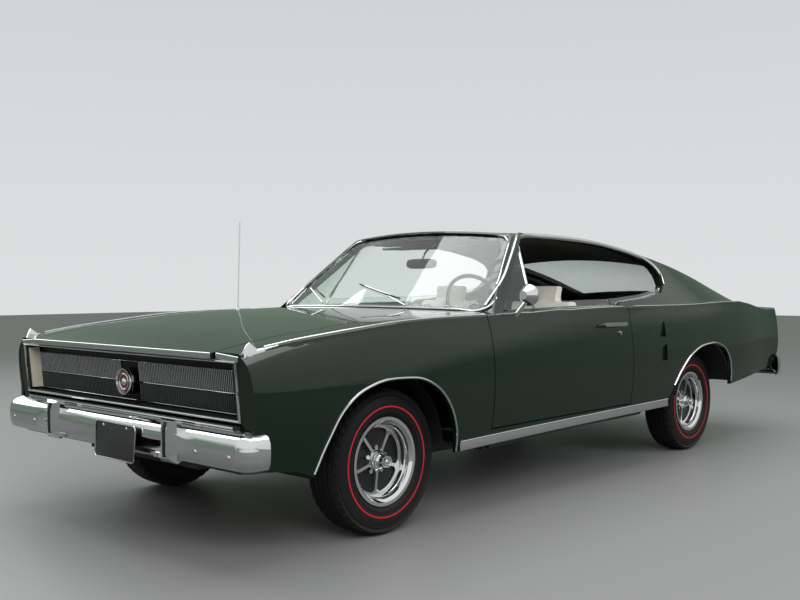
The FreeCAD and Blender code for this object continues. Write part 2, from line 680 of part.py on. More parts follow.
def make_wheel(corner, side, half_track, along):
    body = doc.addObject("PartDesign::Body", "wheel_" + corner)
    flange = "Sizes.rim_flange_radius"
    seat = "Sizes.rim_seat_radius"
    edge = "Sizes.rim_half_width"
    bore = "(Sizes.spindle_radius + Sizes.bearing_clearance)"
    turned(body, "rim_" + corner, [
        (edge, flange),
        (edge + " - 6", flange),
        (edge + " - 6", seat),
        (edge + " - 22", seat + " - 2"),
        (edge + " - 36", seat + " - 12"),
        ("-" + edge + " + 30", seat + " - 12"),
        ("-" + edge + " + 18", seat + " - 2"),
        ("-" + edge + " + 6", seat),
        ("-" + edge + " + 6", flange),
        ("-" + edge, flange),
        ("-" + edge, seat + " - 6"),
        ("-" + edge + " + 16", seat + " - 8"),
        ("-" + edge + " + 28", seat + " - 18"),
        ("6", seat + " - 18"),
        ("0", "Sizes.spider_radius - 12"),
        ("0", "Sizes.hub_radius"),
        ("6", bore),
        ("46", bore),
        ("46", "Sizes.spindle_radius + 9"),
        ("40", "Sizes.spindle_radius + 12"),
        ("Sizes.spider_face + 10", "Sizes.spindle_radius + 16"),
        ("Sizes.spider_face + 5", "90"),
        ("Sizes.spider_face", "Sizes.spider_radius"),
        ("Sizes.spider_face + 2", seat + " - 22"),
        (edge + " - 34", seat + " - 19"),
        (edge + " - 28", seat + " - 14"),
        (edge + " - 12", seat + " - 11"),
        (edge + " - 7", seat + " - 4"),
        (edge + " - 1", seat + " + 2"),
    ])
    pocket_outline = bound_profile(body, "pocket_outline_" + corner, "YZ_Plane", POCKET)
    pocket = body.newObject("PartDesign::Pocket", "pocket_" + corner)
    pocket.Profile = pocket_outline
    pocket.Reversed = True
    pocket.Type = "Length"
    pocket.setExpression("Length", "60")
    pocket_start = FreeCAD.Placement(Vector(0, 0, named("pocket_floor")), FreeCAD.Rotation())
    pocket_outline.AttachmentOffset = pocket_start
    pocket_outline.setExpression("AttachmentOffset.Base.z", S + "pocket_floor")
    pockets = body.newObject("PartDesign::PolarPattern", "pockets_" + corner)
    pockets.Originals = [pocket]
    pockets.Axis = origin_axis(body, "X_Axis")
    pockets.Angle = 360
    pockets.Occurrences = SPOKES
    body.Tip = pockets
    cap = bound_profile(body, "cap_profile_" + corner, "XZ_Plane", [
        ("46", "0"),
        ("46", "Sizes.spindle_radius + 9"),
        ("56", "Sizes.spindle_radius + 6"),
        ("66", "Sizes.spindle_radius - 2"),
        ("Sizes.cap_reach - 10", "Sizes.spindle_radius - 4"),
        ("Sizes.cap_reach - 3", "Sizes.spindle_radius - 7"),
        ("Sizes.cap_reach - 3", "Sizes.spindle_radius - 12"),
        ("Sizes.cap_reach - 6", "Sizes.spindle_radius - 14"),
        ("Sizes.cap_reach - 6", "Sizes.spindle_radius - 20"),
        ("Sizes.cap_reach", "Sizes.spindle_radius - 24"),
        ("Sizes.cap_reach", "0"),
    ])
    dome = body.newObject("PartDesign::Revolution", "cap_" + corner)
    dome.Profile = cap
    dome.ReferenceAxis = origin_axis(body, "X_Axis")
    dome.Angle = 360
    nut = body.newObject("PartDesign::AdditiveCylinder", "nut_" + corner)
    nut.setExpression("Radius", S + "nut_radius")
    nut.Height = 18
    nut_plane = [item for item in body.Origin.OriginFeatures if item.Role == "YZ_Plane"][0]
    nut.AttachmentSupport = [(nut_plane, "")]
    nut.MapMode = "FlatFace"
    nut.AttachmentOffset = FreeCAD.Placement(Vector(0, named("bolt_circle_radius"), 6), FreeCAD.Rotation())
    nut.setExpression("AttachmentOffset.Base.y", S + "bolt_circle_radius")
    nuts = body.newObject("PartDesign::PolarPattern", "nuts_" + corner)
    nuts.Originals = [nut]
    nuts.Axis = origin_axis(body, "X_Axis")
    nuts.Angle = 360
    nuts.Occurrences = SPOKES
    body.Tip = nuts
    stand_at_wheel(body, side, half_track, along)
    keep(body, "wheel_" + corner)


for corner, (side, half_track, along) in WHEELS.items():
    make_tyre(corner, side, half_track, along)
    make_wheel(corner, side, half_track, along)


DRUM_WIDTH = "28"


# Front knuckles: brake drum, spindle and kingpin posts, made about the wheel centre
def make_knuckle(corner, side, half_track, along):
    drum = rod_node("drum_" + corner, S + "drum_radius", DRUM_WIDTH, "0", "0", "0", "X")
    drum.setExpression("Placement.Base.x", "-34")
    spindle = rod_node("spindle_" + corner, S + "spindle_radius", "56", "-12", "0", "0", "X")
    post = box_node("post_" + corner, "46.5", "60", "203.4", "-Sizes.kingpin_offset - 14", "-30", "-101.7")
    body = fuse_nodes("knuckle_" + corner, [drum, spindle, post])
    turn = FreeCAD.Rotation(Vector(0, 0, 1), 0 if side > 0 else 180)
    body.Placement = FreeCAD.Placement(Vector(), turn)
    place(body, f"{side} * {half_track}", along, S + "tyre_radius")
    keep(body, "knuckle_" + corner.replace("front_", ""))


for corner in ("front_left", "front_right"):
    make_knuckle(corner, *WHEELS[corner])


# Underbody: floor with its tunnel and wheel housings, then rails that carry bumpers and springs
FLOOR = named("floor_height")
FLOOR_WALL = 8
TRUNK_FLOOR = 455
FLOOR_START = FIREWALL + FIREWALL_WALL
SIDE_KICK_START = 2300
SIDE_KICK_TOP = 400
SIDE_KICK_END = 2580
floor_plate = box(-815, 815, aft(FLOOR_START), aft(SIDE_KICK_START), FLOOR, FLOOR + FLOOR_WALL)
floor_middle = box(-560, 560, aft(SIDE_KICK_START), aft(2570), FLOOR, FLOOR + FLOOR_WALL)
side_kick = side_prism([(SIDE_KICK_START, FLOOR), (SIDE_KICK_END, SIDE_KICK_TOP),
                        (SIDE_KICK_END, SIDE_KICK_TOP + FLOOR_WALL), (SIDE_KICK_START, FLOOR + FLOOR_WALL)],
                       552, 815)
side_wall = side_prism([(SIDE_KICK_START, FLOOR), (SIDE_KICK_END, FLOOR),
                        (SIDE_KICK_END, SIDE_KICK_TOP + FLOOR_WALL), (SIDE_KICK_START, FLOOR + FLOOR_WALL)],
                       552, 560)
kick_up = side_prism([(2562, FLOOR), (2570, FLOOR), (2650, TRUNK_FLOOR), (4230, TRUNK_FLOOR),
                      (4230, TRUNK_FLOOR + FLOOR_WALL), (2644, TRUNK_FLOOR + FLOOR_WALL),
                      (2562, FLOOR + FLOOR_WALL)], -560, 560)
tunnel = box(-TUNNEL_HALF, TUNNEL_HALF, aft(FLOOR_START), aft(2700), FLOOR, TUNNEL_TOP)
tunnel_space = box(-TUNNEL_HALF + FLOOR_WALL, TUNNEL_HALF - FLOOR_WALL, aft(FIREWALL - 10), aft(2800),
                   FLOOR - 20, TUNNEL_TOP - FLOOR_WALL)
HOUSING_RADIUS = 400
RAIL_INNER = 350
RAIL_OUTER = 425
REAR_HOUSING_HALF = 560


def housing(along, inner_half, radius, centre_height, front_low, rear_low):
    """Wheel housing: a half drum with a skirt before and behind, open outward and downward."""
    centre = Vector(inner_half, aft(along), centre_height)
    outer = Part.makeCylinder(radius, 400, centre, Vector(1, 0, 0))
    for start, end, low in ((along - radius, along, front_low), (along, along + radius, rear_low)):
        if low < centre_height:
            outer = outer.fuse(box(inner_half, inner_half + 400, aft(start), aft(end), low, centre_height))
        else:
            outer = outer.cut(box(inner_half - 1, inner_half + 401, aft(start - 1), aft(end + 1), 0, low))
    space_start = centre + Vector(FLOOR_WALL, 0, 0)
    space = Part.makeCylinder(radius - FLOOR_WALL, 500, space_start, Vector(1, 0, 0))
    space = space.fuse(box(inner_half + FLOOR_WALL, inner_half + 500, aft(along) - radius + FLOOR_WALL,
                           aft(along) + radius - FLOOR_WALL, 0, centre_height))
    return outer.common(body_cavity), space


rear_housing, rear_space = housing(wheelbase, REAR_HOUSING_HALF, HOUSING_RADIUS, tyre_radius,
                                   SIDE_KICK_TOP, 440)
floor_pan = joined([floor_plate, floor_middle, side_kick, side_wall, mirrored(side_kick), mirrored(side_wall),
                    kick_up, tunnel, rear_housing, mirrored(rear_housing)])
axle_space = box(-700, 700, aft(wheelbase - 60), aft(wheelbase + 60), 260, 400)
floor_pan = floor_pan.cut(tunnel_space).cut(rear_space).cut(mirrored(rear_space)).cut(axle_space)
floor_pan = max(floor_pan.Solids, key=lambda solid: solid.Volume)
keep_shape("floor_pan", floor_pan)

# The front housings stand against the rails and leave a slot for the suspension arms
front_housing, front_space = housing(0, RAIL_OUTER + seat_gap, HOUSING_RADIUS + 5, tyre_radius, 380, 345)
front_housing = front_housing.common(box(0, 1000, aft(-700), aft(FIREWALL - 5), FLOOR, 900))
liner = front_housing.cut(front_space).cut(box(RAIL_OUTER - 5, 470, aft(-44), aft(44), 300, 460))
keep_shape("front_wheelhouses", Part.makeCompound([liner, mirrored(liner)]))

rail = side_prism([(-690, 330), (470, 330), (600, FLOOR - 90), (1500, FLOOR - 90), (1500, FLOOR),
                   (600, FLOOR), (540, FLOOR + 60), (470, 420), (-690, 420)], RAIL_INNER, RAIL_OUTER)
nose_tie = box(-RAIL_INNER, RAIL_INNER, aft(-690), aft(-640), 330, 420)
tower = box(RAIL_INNER, RAIL_OUTER, aft(-50), aft(50), 230, 460)
front_rails = joined([rail, mirrored(rail), nose_tie, tower, mirrored(tower),
                      box(-RAIL_OUTER, RAIL_OUTER, aft(-60), aft(60), 196, 240)])
keep_shape("front_rails", front_rails)
LIFT_FACE_END = 2466
rear_rail = side_prism([(2300, 240), (LIFT_FACE_END, 240), (2520, 250), (2700, TRUNK_FLOOR - 80),
                        (4190, TRUNK_FLOOR - 80),
                        (4190, TRUNK_FLOOR), (2650, TRUNK_FLOOR), (2570, FLOOR), (2300, FLOOR)], 450, 520)
rear_tie = box(-450, 450, aft(4100), aft(4190), TRUNK_FLOOR - 80, TRUNK_FLOOR)
rear_rails = joined([rear_rail, mirrored(rear_rail), rear_tie])
keep_shape("rear_rails", rear_rails)

# Front suspension: lower and upper arms between the rails and the kingpin posts
KINGPIN = "(Sizes.front_track / 2 - Sizes.kingpin_offset)"


def make_suspension():
    pieces = []
    for side in (1, -1):
        for height, thick in (("Sizes.tyre_radius - 124", "22"), ("Sizes.tyre_radius + 102", "20")):
            start = "425" if side > 0 else f"-({KINGPIN} + 16)"
            pieces.append(box_node(f"arm_{len(pieces)}", f"{KINGPIN} + 16 - 425", "64", thick, start,
                                   AFT + " - 32", height))
    node = doc.addObject("Part::Compound", "front_suspension")
    node.Links = pieces
    keep(node, "front_suspension")


make_suspension()

# Rear axle: tube, differential, drums and spindles, on leaf springs
REAR = "(" + AFT + " + Sizes.wheelbase)"
axle_tube = rod_node("axle_tube", "38", "Sizes.rear_track - 60", "30 - Sizes.rear_track / 2", REAR,
                     S + "tyre_radius", "X")
housing_body = doc.addObject("PartDesign::Body", "differential_body")
turned(housing_body, "differential", [
    ("-150", "0"), ("-150", "40"), ("-96", "62"), ("-52", "108"), ("-40", "122"),
    ("40", "122"), ("52", "108"), ("96", "62"), ("150", "40"), ("150", "0"),
])
place(housing_body, "0", REAR, S + "tyre_radius")
axle_pieces = [axle_tube, housing_body]
for side, base in ((1, "Sizes.rear_track / 2"), (-1, "-Sizes.rear_track / 2")):
    drum = rod_node(f"rear_drum_{len(axle_pieces)}", S + "drum_radius", DRUM_WIDTH,
                    base + (" - 34" if side > 0 else " + 6"), REAR, S + "tyre_radius", "X")
    spindle = rod_node(f"rear_spindle_{len(axle_pieces)}", S + "spindle_radius", "76",
                       base + (" - 32" if side > 0 else " - 44"), REAR, S + "tyre_radius", "X")
    axle_pieces += [drum, spindle]
rear_axle = fuse_nodes("rear_axle", axle_pieces)
keep(rear_axle, "rear_axle")
SPRING_HALF = 485
SPRING_EYE = LIFT_FACE_END + 4
spring = side_prism([(SPRING_EYE, 232), (wheelbase, 272), (wheelbase + 760, 330), (wheelbase + 760, 341),
                     (wheelbase, 283.5), (SPRING_EYE, 243)], SPRING_HALF - 30, SPRING_HALF + 30)
hangers = [box(SPRING_HALF - 20, SPRING_HALF + 20, aft(along), aft(along + 30), low, low + 150)
           for along, low in ((SPRING_EYE + 5, 236), (wheelbase + 720, 330))]
spring = joined([spring] + hangers).cut(rear_rails)
spring = max(spring.Solids, key=lambda solid: solid.Volume)
keep_shape("leaf_springs", Part.makeCompound([spring, mirrored(spring)]))

# Engine, one closed block, then gearbox and drive shaft
block = box_node("block", "560", "720", "560", "-280", AFT + " - 260", "300")
mounts = box_node("engine_mounts", "700 - 2 * Sizes.seat_gap", "80", "60",
                  "Sizes.seat_gap - 350", AFT + " + 90", "345")
keep(fuse_nodes("engine", [block, mounts]), "engine")
gearbox = box_node("gearbox", "200", "780", "240", "-100", AFT + " + 460 + Sizes.seat_gap", "190")
shaft = rod_node("shaft", "40", "Sizes.wheelbase - 1240 - 125 - Sizes.seat_gap", "0", AFT + " + 1240",
                 S + "tyre_radius", "Y")
shaft.setExpression("Placement.Base.z", S + "tyre_radius")
keep(fuse_nodes("drivetrain", [gearbox, shaft]), "drivetrain")
tank = box_node("tank", "860", "560", "170", "-430", AFT + " + 3440", "284.7")
keep(tank, "fuel_tank")
pipes = []
for side in (1, -1):
    across = f"{side * 250}"
    pipes.append(fuse_nodes(f"pipe_{len(pipes)}", [
        rod_node(f"tube_{len(pipes)}", "30", "2400", across, AFT + " + 300", "230", "Y"),
        rod_node(f"front_hanger_{len(pipes)}", "6", "50 - Sizes.seat_gap", across, AFT + " + 900", "250"),
        rod_node(f"rear_hanger_{len(pipes)}", "6", "50 - Sizes.seat_gap", across, AFT + " + 2300", "250")]))
exhaust = doc.addObject("Part::Compound", "exhaust")
exhaust.Links = pipes
keep(exhaust, "exhaust")

# Cabin
dash = side_prism([(FLOOR_START + seat_gap, 700), (900, 700), (930, 760), (930, 900), (860, 968), (760, 975),
                   (FLOOR_START + seat_gap, 960)], -770, 770).common(body_envelope(125, 30, 180))
keep_shape("dashboard", dash)


def make_seat(across, along, width, shoulder, head):
    """Bucket seat in side view: cushion and leaning backrest, with a narrower head where it has one."""
    lean = 0.29
    back_foot = along + 500
    shoulder_front = back_foot + (shoulder - 560) * lean
    seat = side_prism([(along, 372.3), (along + 590, 372.3), (along + 600, 400),
                       (shoulder_front + 105, shoulder - 60), (shoulder_front + 80, shoulder),
                       (shoulder_front, shoulder), (back_foot, 560), (along + 20, 560), (along - 20, 520)],
                      across - width / 2, across + width / 2)
    seat = seat.makeFillet(26, seat.Edges)
    if head:
        rise = (head - shoulder) * lean
        rest = side_prism([(shoulder_front + 12, shoulder - 60), (shoulder_front + 78, shoulder - 60),
                           (shoulder_front + 78 + rise, head - 15), (shoulder_front + 60 + rise, head),
                           (shoulder_front + 20 + rise, head), (shoulder_front + 2 + rise, head - 15)],
                          across - HEAD_HALF, across + HEAD_HALF)
        seat = joined([seat, rest])
    return seat


HEAD_HALF = 115
SEAT_FRONT = 1240
seats = [make_seat(side * named("seat_half_spacing"), SEAT_FRONT, 480, 1010, 1110) for side in (1, -1)]
REAR_SEAT_FRONT = 1955
REAR_SEAT_HALF = 340
frames = [box(across - 180, across + 180, aft(along + 60), aft(along + 480), FLOOR + FLOOR_WALL, 372)
          for across in (370, -370) for along in (SEAT_FRONT,)]
frames += [box(across - 180, across + 180, aft(REAR_SEAT_FRONT + 60), aft(REAR_SEAT_FRONT + 480),
               FLOOR + FLOOR_WALL, 372)
           for across in (REAR_SEAT_HALF, -REAR_SEAT_HALF)]
keep_shape("front_seats", Part.makeCompound(seats))
keep_shape("seat_frames", Part.makeCompound(frames))
rear_seats = [make_seat(side * REAR_SEAT_HALF, REAR_SEAT_FRONT, 410, 940, 0) for side in (1, -1)]
keep_shape("rear_seats", Part.makeCompound(rear_seats))

# Steering column and wheel
tilt = named("column_tilt")
WHEEL_HUB = Vector(named("seat_half_spacing"), aft(1245), 958)
column_way = Vector(0, -cos(radians(tilt)), -sin(radians(tilt)))
column = Part.makeCylinder(24, 640, WHEEL_HUB + column_way * 34.3, column_way)
column = column.cut(dash)
column = max(column.Solids, key=lambda solid: solid.Volume)
keep_shape("steering_column", column)
rim = Part.makeTorus(named("steering_wheel_radius"), 11, WHEEL_HUB, column_way)
hub = Part.makeCylinder(34, 34, WHEEL_HUB, column_way)
across_way = Vector(1, 0, 0)
bar_half = named("steering_wheel_radius") - 4
bar = Part.makeCylinder(9, 2 * bar_half, WHEEL_HUB + column_way * 10 - across_way * bar_half, across_way)
keep_shape("steering_wheel", joined([rim, hub, bar]))


# Nose: chrome surround, grille of upright bars, and the panel behind them
GRILLE_LOW = 583
GRILLE_HIGH = 797
FRAME_BAND = 24
FRAME_DEPTH = 96
FRAME_LIP = 12


def nose_y(height):
    """The nose leans forward towards the top."""
    return -795 - (height - GRILLE_LOW) * 21 / (GRILLE_HIGH - GRILLE_LOW)


def nose_slab(low, high, half, front, depth):
    outline = [(nose_y(low) + front, low), (nose_y(high) + front, high),
               (nose_y(high) + front + depth, high), (nose_y(low) + front + depth, low)]
    return side_prism(outline, -half, half)


frame = nose_slab(GRILLE_LOW - FRAME_LIP, GRILLE_HIGH + FRAME_LIP, GRILLE_HALF, 0, FRAME_DEPTH)
frame = frame.cut(nose_slab(GRILLE_LOW, GRILLE_HIGH, GRILLE_HALF - FRAME_BAND, -10, FRAME_DEPTH + 20))
keep_shape("grille_surround", frame)

BAR_PITCH = 16
BAR_SLOT = 9
GRILLE_SETBACK = 66
GRILLE_DEPTH = 14
TOP_REVEAL = 34
BOTTOM_REVEAL = 8
grille_half = GRILLE_HALF - FRAME_BAND - seat_gap
grille_low = GRILLE_LOW + seat_gap
grille_high = GRILLE_HIGH - seat_gap
grille_mid = (grille_low + grille_high - TOP_REVEAL) / 2
grille = nose_slab(grille_low, grille_high, grille_half, GRILLE_SETBACK, GRILLE_DEPTH)
slots = []
count = int((grille_half - 10) // BAR_PITCH)
for index in range(-count, count + 1):
    middle = index * BAR_PITCH
    if abs(middle) < 66:
        continue
    lower_row = (grille_low + BOTTOM_REVEAL, grille_mid - 3)
    upper_row = (grille_mid + 3, grille_high - TOP_REVEAL)
    for low, high in (lower_row, upper_row):
        slots.append(box(middle - BAR_SLOT / 2, middle + BAR_SLOT / 2, aft(-840), aft(-700), low, high))
grille = grille.cut(Part.makeCompound(slots))
boss = Part.makeCylinder(58, 44, Vector(0, aft(nose_y(grille_mid) + 30), grille_mid), Vector(0, 1, 0))
keep_shape("grille", grille.fuse(boss))

radiator_support = nose_slab(430, GRILLE_HIGH + 8, 900, FRAME_DEPTH + seat_gap, 14).common(body_cavity)
keep_shape("radiator_support", radiator_support)

# Turn lamps: lenses on the two end walls of the grille's recess
LENS_WALL = 5
lens = nose_slab(GRILLE_LOW + 10, GRILLE_HIGH - 10, LENS_WALL, 8, GRILLE_SETBACK - 14)
lens = lens.translated(Vector(GRILLE_HALF - FRAME_BAND - seat_gap - LENS_WALL, 0, 0))
keep_shape("turn_lamps", Part.makeCompound([lens, mirrored(lens)]))

# Bumpers: a curved channel swept along its plan line
FRONT_FACE = -868
WRAP_HALF = 948


def flip_x(point):
    return Vector(-point.x, point.y, point.z)


def bumper_way(face, end, level, toward):
    """Plan line of a bumper's face: wrapped ends, round corners and a bowed middle."""
    corner_start = Vector(WRAP_HALF, aft(face + toward * 72), level)
    corner_mid = Vector(WRAP_HALF - 21, aft(face + toward * 25), level)
    corner_end = Vector(WRAP_HALF - 70, aft(face + toward * 6), level)
    start = Vector(WRAP_HALF, aft(end), level)
    middle = Vector(0, aft(face), level)
    return Part.Wire([
        Part.makeLine(start, corner_start),
        Part.Arc(corner_start, corner_mid, corner_end).toShape(),
        Part.Arc(corner_end, middle, flip_x(corner_end)).toShape(),
        Part.Arc(flip_x(corner_end), flip_x(corner_mid), flip_x(corner_start)).toShape(),
        Part.makeLine(flip_x(corner_start), flip_x(start)),
    ]), start


def channel(profile, start):
    outer = [Vector(start.x - inward, start.y, up) for inward, up in profile]
    return Part.makePolygon(outer + outer[:1])


FRONT_PROFILE = [(34, 392), (12, 404), (2, 430), (0, 470), (3, 505), (12, 522), (30, 534), (62, 545),
                 (62, 540), (32, 529), (16, 518), (8, 503), (5, 470), (7, 431), (16, 408), (34, 398)]
BUMPER_CLEARANCE = 3
body_grown = body_envelope(-BUMPER_CLEARANCE, -BUMPER_CLEARANCE, 300)
front_way, front_start = bumper_way(FRONT_FACE, -745, 392, 1)
front_bumper = front_way.makePipeShell([channel(FRONT_PROFILE, front_start)], True, False, 2)
SIDE_ZONE = 850
front_side = body_grown.common(box(SIDE_ZONE, 1000, aft(-797), aft(-600), 300, 900))
front_bumper = front_bumper.cut(front_side).cut(mirrored(front_side))
BRACKET_X = 387
GUARD_X = 460
GUARD_FOOT = 56
GUARD_RIDGE = 17
pieces = [max(front_bumper.Solids, key=lambda solid: solid.Volume)]
brackets = []
for side in (1, -1):
    guard = side_prism([(-879, 404), (-885, 424), (-885, 516), (-878, 552), (-862, 562), (-838, 556),
                        (-838, 396), (-862, 388)], side * GUARD_X - GUARD_FOOT, side * GUARD_X + GUARD_FOOT)
    ridge = [(side * GUARD_X - GUARD_FOOT, -838), (side * GUARD_X - GUARD_FOOT, -862),
             (side * GUARD_X - GUARD_RIDGE, -886), (side * GUARD_X + GUARD_RIDGE, -886),
             (side * GUARD_X + GUARD_FOOT, -862), (side * GUARD_X + GUARD_FOOT, -838)]
    guard = guard.common(plan_prism(ridge, 380, 570))
    brackets.append(box(side * BRACKET_X - 30, side * BRACKET_X + 30, aft(FRONT_FACE + 3),
                        aft(-690 - seat_gap), 400, 416))
    pieces.append(guard)
keep_shape("front_bumper", joined(pieces + brackets))

valance = side_prism([(-800, 380), (-700, 372), (-700, 380), (-790, 388), (-790, 560), (-800, 560)],
                     -900, 900)
valance = valance.common(body_cavity).common(box(-832, 832, aft(-900), aft(-600), 300, 700))
for side in (1, -1):
    valance = valance.cut(box(side * BRACKET_X - 34, side * BRACKET_X + 34, aft(-820), aft(-690), 396, 420))
keep_shape("front_valance", max(valance.Solids, key=lambda solid: solid.Volume))

REAR_FACE = named("overall_length") - named("front_overhang")
REAR_PROFILE = [(24, 420), (10, 430), (2, 460), (0, 505), (3, 545), (12, 566), (24, 574),
                (24, 569), (15, 562), (8, 543), (5, 505), (7, 461), (14, 434), (24, 426)]
rear_way, rear_start = bumper_way(REAR_FACE, 4180, 420, -1)
rear_bumper = rear_way.makePipeShell([channel(REAR_PROFILE, rear_start)], True, False, 2)

pieces = [rear_bumper]
for side in (1, -1):
    pieces.append(box(side * SPRING_HALF - 30, side * SPRING_HALF + 30,
                      aft(4190 + seat_gap), aft(REAR_FACE - 3), 438, 454))
keep_shape("rear_bumper", joined(pieces))

# Tail: a panel across the back with one full-width lamp let into it
TAIL_FACE = TAIL - 34
tail_panel = side_prism([(TAIL_FACE - 14, TRUNK_FLOOR + 10), (TAIL_FACE, TRUNK_FLOOR + 10), (TAIL_FACE, 868),
                         (TAIL_FACE - 14, 868)], -872, 872)
tail_panel = tail_panel.common(body_cavity)
LAMP_HALF = 800
LAMP_LOW = 690
LAMP_HIGH = 815
lamp_hole = box(-LAMP_HALF, LAMP_HALF, aft(TAIL_FACE - 6), aft(TAIL + 10), LAMP_LOW, LAMP_HIGH)
tail_panel = tail_panel.cut(lamp_hole)
keep_shape("tail_panel", tail_panel)
lamp = box(-LAMP_HALF + seat_gap, LAMP_HALF - seat_gap, aft(TAIL_FACE - 6), aft(TAIL - 12),
           LAMP_LOW + seat_gap, LAMP_HIGH - seat_gap)
keep_shape("tail_lamps", lamp)

# Door hardware: handle, lock button and mirror
MIRROR_CENTRE = Vector(958, aft(891), 1044)
mirror_head = Part.makeCone(55, 22, 52, MIRROR_CENTRE + Vector(0, 22, 0), Vector(0, -1, 0))
mirror_post = Part.makeCone(9, 15, 112, MIRROR_CENTRE + Vector(-4, 0, -34), Vector(-0.66, 0, -0.75))
handle = side_prism([(1640, 874), (1664, 862), (1880, 860), (1898, 866), (1898, 878), (1880, 882),
                     (1664, 884)],
                    945, 959)
handle_posts = [box(890, 950, aft(along - 9), aft(along + 9), 866, 878) for along in (1668, 1872)]
button = Part.makeCylinder(11, 60, Vector(885, aft(1850), 820), Vector(1, 0, 0))
CHIP_VOLUME = 3000


def fitted(pieces):
    """Pieces trimmed where they enter the door, without the chips that the trimming leaves."""
    trimmed = Part.makeCompound([piece.cut(door) for piece in pieces])
    return [solid for solid in trimmed.Solids if solid.Volume > CHIP_VOLUME]


# The passenger's door carries no mirror
latch = fitted([joined([handle] + handle_posts), button])
mirror = fitted([joined([mirror_head, mirror_post])])
keep_shape("door_hardware_left", Part.makeCompound(mirror + latch))
keep_shape("door_hardware_right", mirrored(Part.makeCompound(latch)))

# Wipers and antenna
wipers = []
for pivot, tip in (((330, 700, 984), (60, 780, 1062)), ((-300, 700, 984), (-520, 800, 1075))):
    start = Vector(pivot[0], aft(pivot[1]), pivot[2])
    end = Vector(tip[0], aft(tip[1]), tip[2])
    arm = Part.makeCylinder(5, (end - start).Length, start, end - start)
    spindle = Part.makeCylinder(12, 40, start + Vector(0, 0, -28), Vector(0, 0, 1))
    wipers.append(joined([arm, spindle]).cut(cowl).cut(screen))
wipers = [max(piece.Solids, key=lambda solid: solid.Volume) for piece in wipers]
keep_shape("wipers", Part.makeCompound(wipers))
ANTENNA_BASE = Vector(-790, aft(470), 935)
mast = joined([Part.makeCylinder(3, 530, ANTENNA_BASE, Vector(0, 0.03, 1)),
               Part.makeCone(18, 8, 30, ANTENNA_BASE, Vector(0, 0, 1))])
mast = mast.cut(mirrored(fender))
mast = max(mast.Solids, key=lambda solid: solid.Volume)
keep_shape("antenna", mast)

console = box(-100, 100, aft(1150), aft(2450), TUNNEL_TOP, 560)
keep_shape("console", console)


def check_and_write():
    doc.recompute()
    for item in doc.Objects:
        if "Invalid" in item.State or "Error" in item.State:
            raise RuntimeError(f"{item.Label} did not compute")
    for node in parts:
        if node.Shape.isNull() or not node.Shape.isValid():
            raise RuntimeError(f"{node.Label} has no valid shape")
    os.makedirs("parts", exist_ok=True)
    for node in parts:
        node.Shape.exportStep(f"parts/{node.Label}.step")
        print(node.Label, len(node.Shape.Solids), round(node.Shape.Volume / 1000) / 1000)


check_and_write()
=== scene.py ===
import math

import bpy
from mathutils import Matrix, Vector
from mathutils.bvhtree import BVHTree


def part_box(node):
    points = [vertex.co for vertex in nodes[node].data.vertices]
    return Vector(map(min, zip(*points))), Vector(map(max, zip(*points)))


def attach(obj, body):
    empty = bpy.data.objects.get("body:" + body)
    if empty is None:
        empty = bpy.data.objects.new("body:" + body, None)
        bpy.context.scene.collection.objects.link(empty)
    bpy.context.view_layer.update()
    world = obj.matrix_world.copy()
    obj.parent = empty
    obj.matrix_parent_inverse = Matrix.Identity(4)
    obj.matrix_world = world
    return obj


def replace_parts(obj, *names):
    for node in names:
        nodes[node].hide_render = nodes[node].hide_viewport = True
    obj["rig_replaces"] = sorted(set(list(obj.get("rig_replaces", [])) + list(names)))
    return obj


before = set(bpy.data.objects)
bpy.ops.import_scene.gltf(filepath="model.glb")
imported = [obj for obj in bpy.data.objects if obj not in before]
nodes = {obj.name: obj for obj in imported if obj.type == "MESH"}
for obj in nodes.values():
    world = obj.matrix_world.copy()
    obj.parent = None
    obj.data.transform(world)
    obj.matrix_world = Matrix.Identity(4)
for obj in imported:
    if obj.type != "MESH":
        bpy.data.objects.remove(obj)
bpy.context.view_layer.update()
frontAxle = -1.7005  # y of the front wheels' centre line, metres
wheelbase = 2.972
hubHeight = 0.322  # z of the wheels' centres
halfTrack = {"front": 0.7555, "rear": 0.743}  # x of the middle of a left wheel


# Y of a place given in metres behind the front axle
def aft(behind):
    return frontAxle + behind


def spread(start, end, count):
    return [start + (end - start) * index / (count - 1) for index in range(count)]


# Linear colour from 0-255 screen values
def rgb(*screen):
    share = [value / 255 for value in screen]
    return (*(v / 12.92 if v <= 0.04045 else ((v + 0.055) / 1.055) ** 2.4 for v in share), 1)


# A shader node: its sockets take constants, or links where they are given another node's output
def addNode(tree, kind, sockets, **settings):
    node = tree.nodes.new("ShaderNode" + kind)
    for name, value in settings.items():
        setattr(node, name, value)
    for socket, value in sockets.items():
        if isinstance(value, bpy.types.NodeSocket):
            tree.links.new(value, node.inputs[socket])
        else:
            node.inputs[socket].default_value = value
    return node


def calculate(tree, operation, *values, **settings):
    return addNode(tree, "Math", dict(enumerate(values)), operation=operation, **settings).outputs["Value"]


def mixColours(tree, factor, first, second):
    sockets = {"Factor": factor, "A": first, "B": second}
    return addNode(tree, "Mix", sockets, data_type="RGBA").outputs["Result"]


def objectPlace(tree):
    return addNode(tree, "TexCoord", {}).outputs["Object"]


def splitAxes(tree, place):
    return addNode(tree, "SeparateXYZ", {"Vector": place}).outputs


# A node group with one output; floats and colours are told apart by their default values
def newGroup(name, output, **inputs):
    group = bpy.data.node_groups.new(name, "ShaderNodeTree")
    for label, value in inputs.items():
        kind = "NodeSocketFloat" if isinstance(value, float) else "NodeSocketColor"
        group.interface.new_socket(label, in_out="INPUT", socket_type=kind).default_value = value
    group.interface.new_socket(output[0], in_out="OUTPUT", socket_type="NodeSocket" + output[1])
    leave = group.nodes.new("NodeGroupOutput")
    return group, group.nodes.new("NodeGroupInput").outputs, leave.inputs[0]


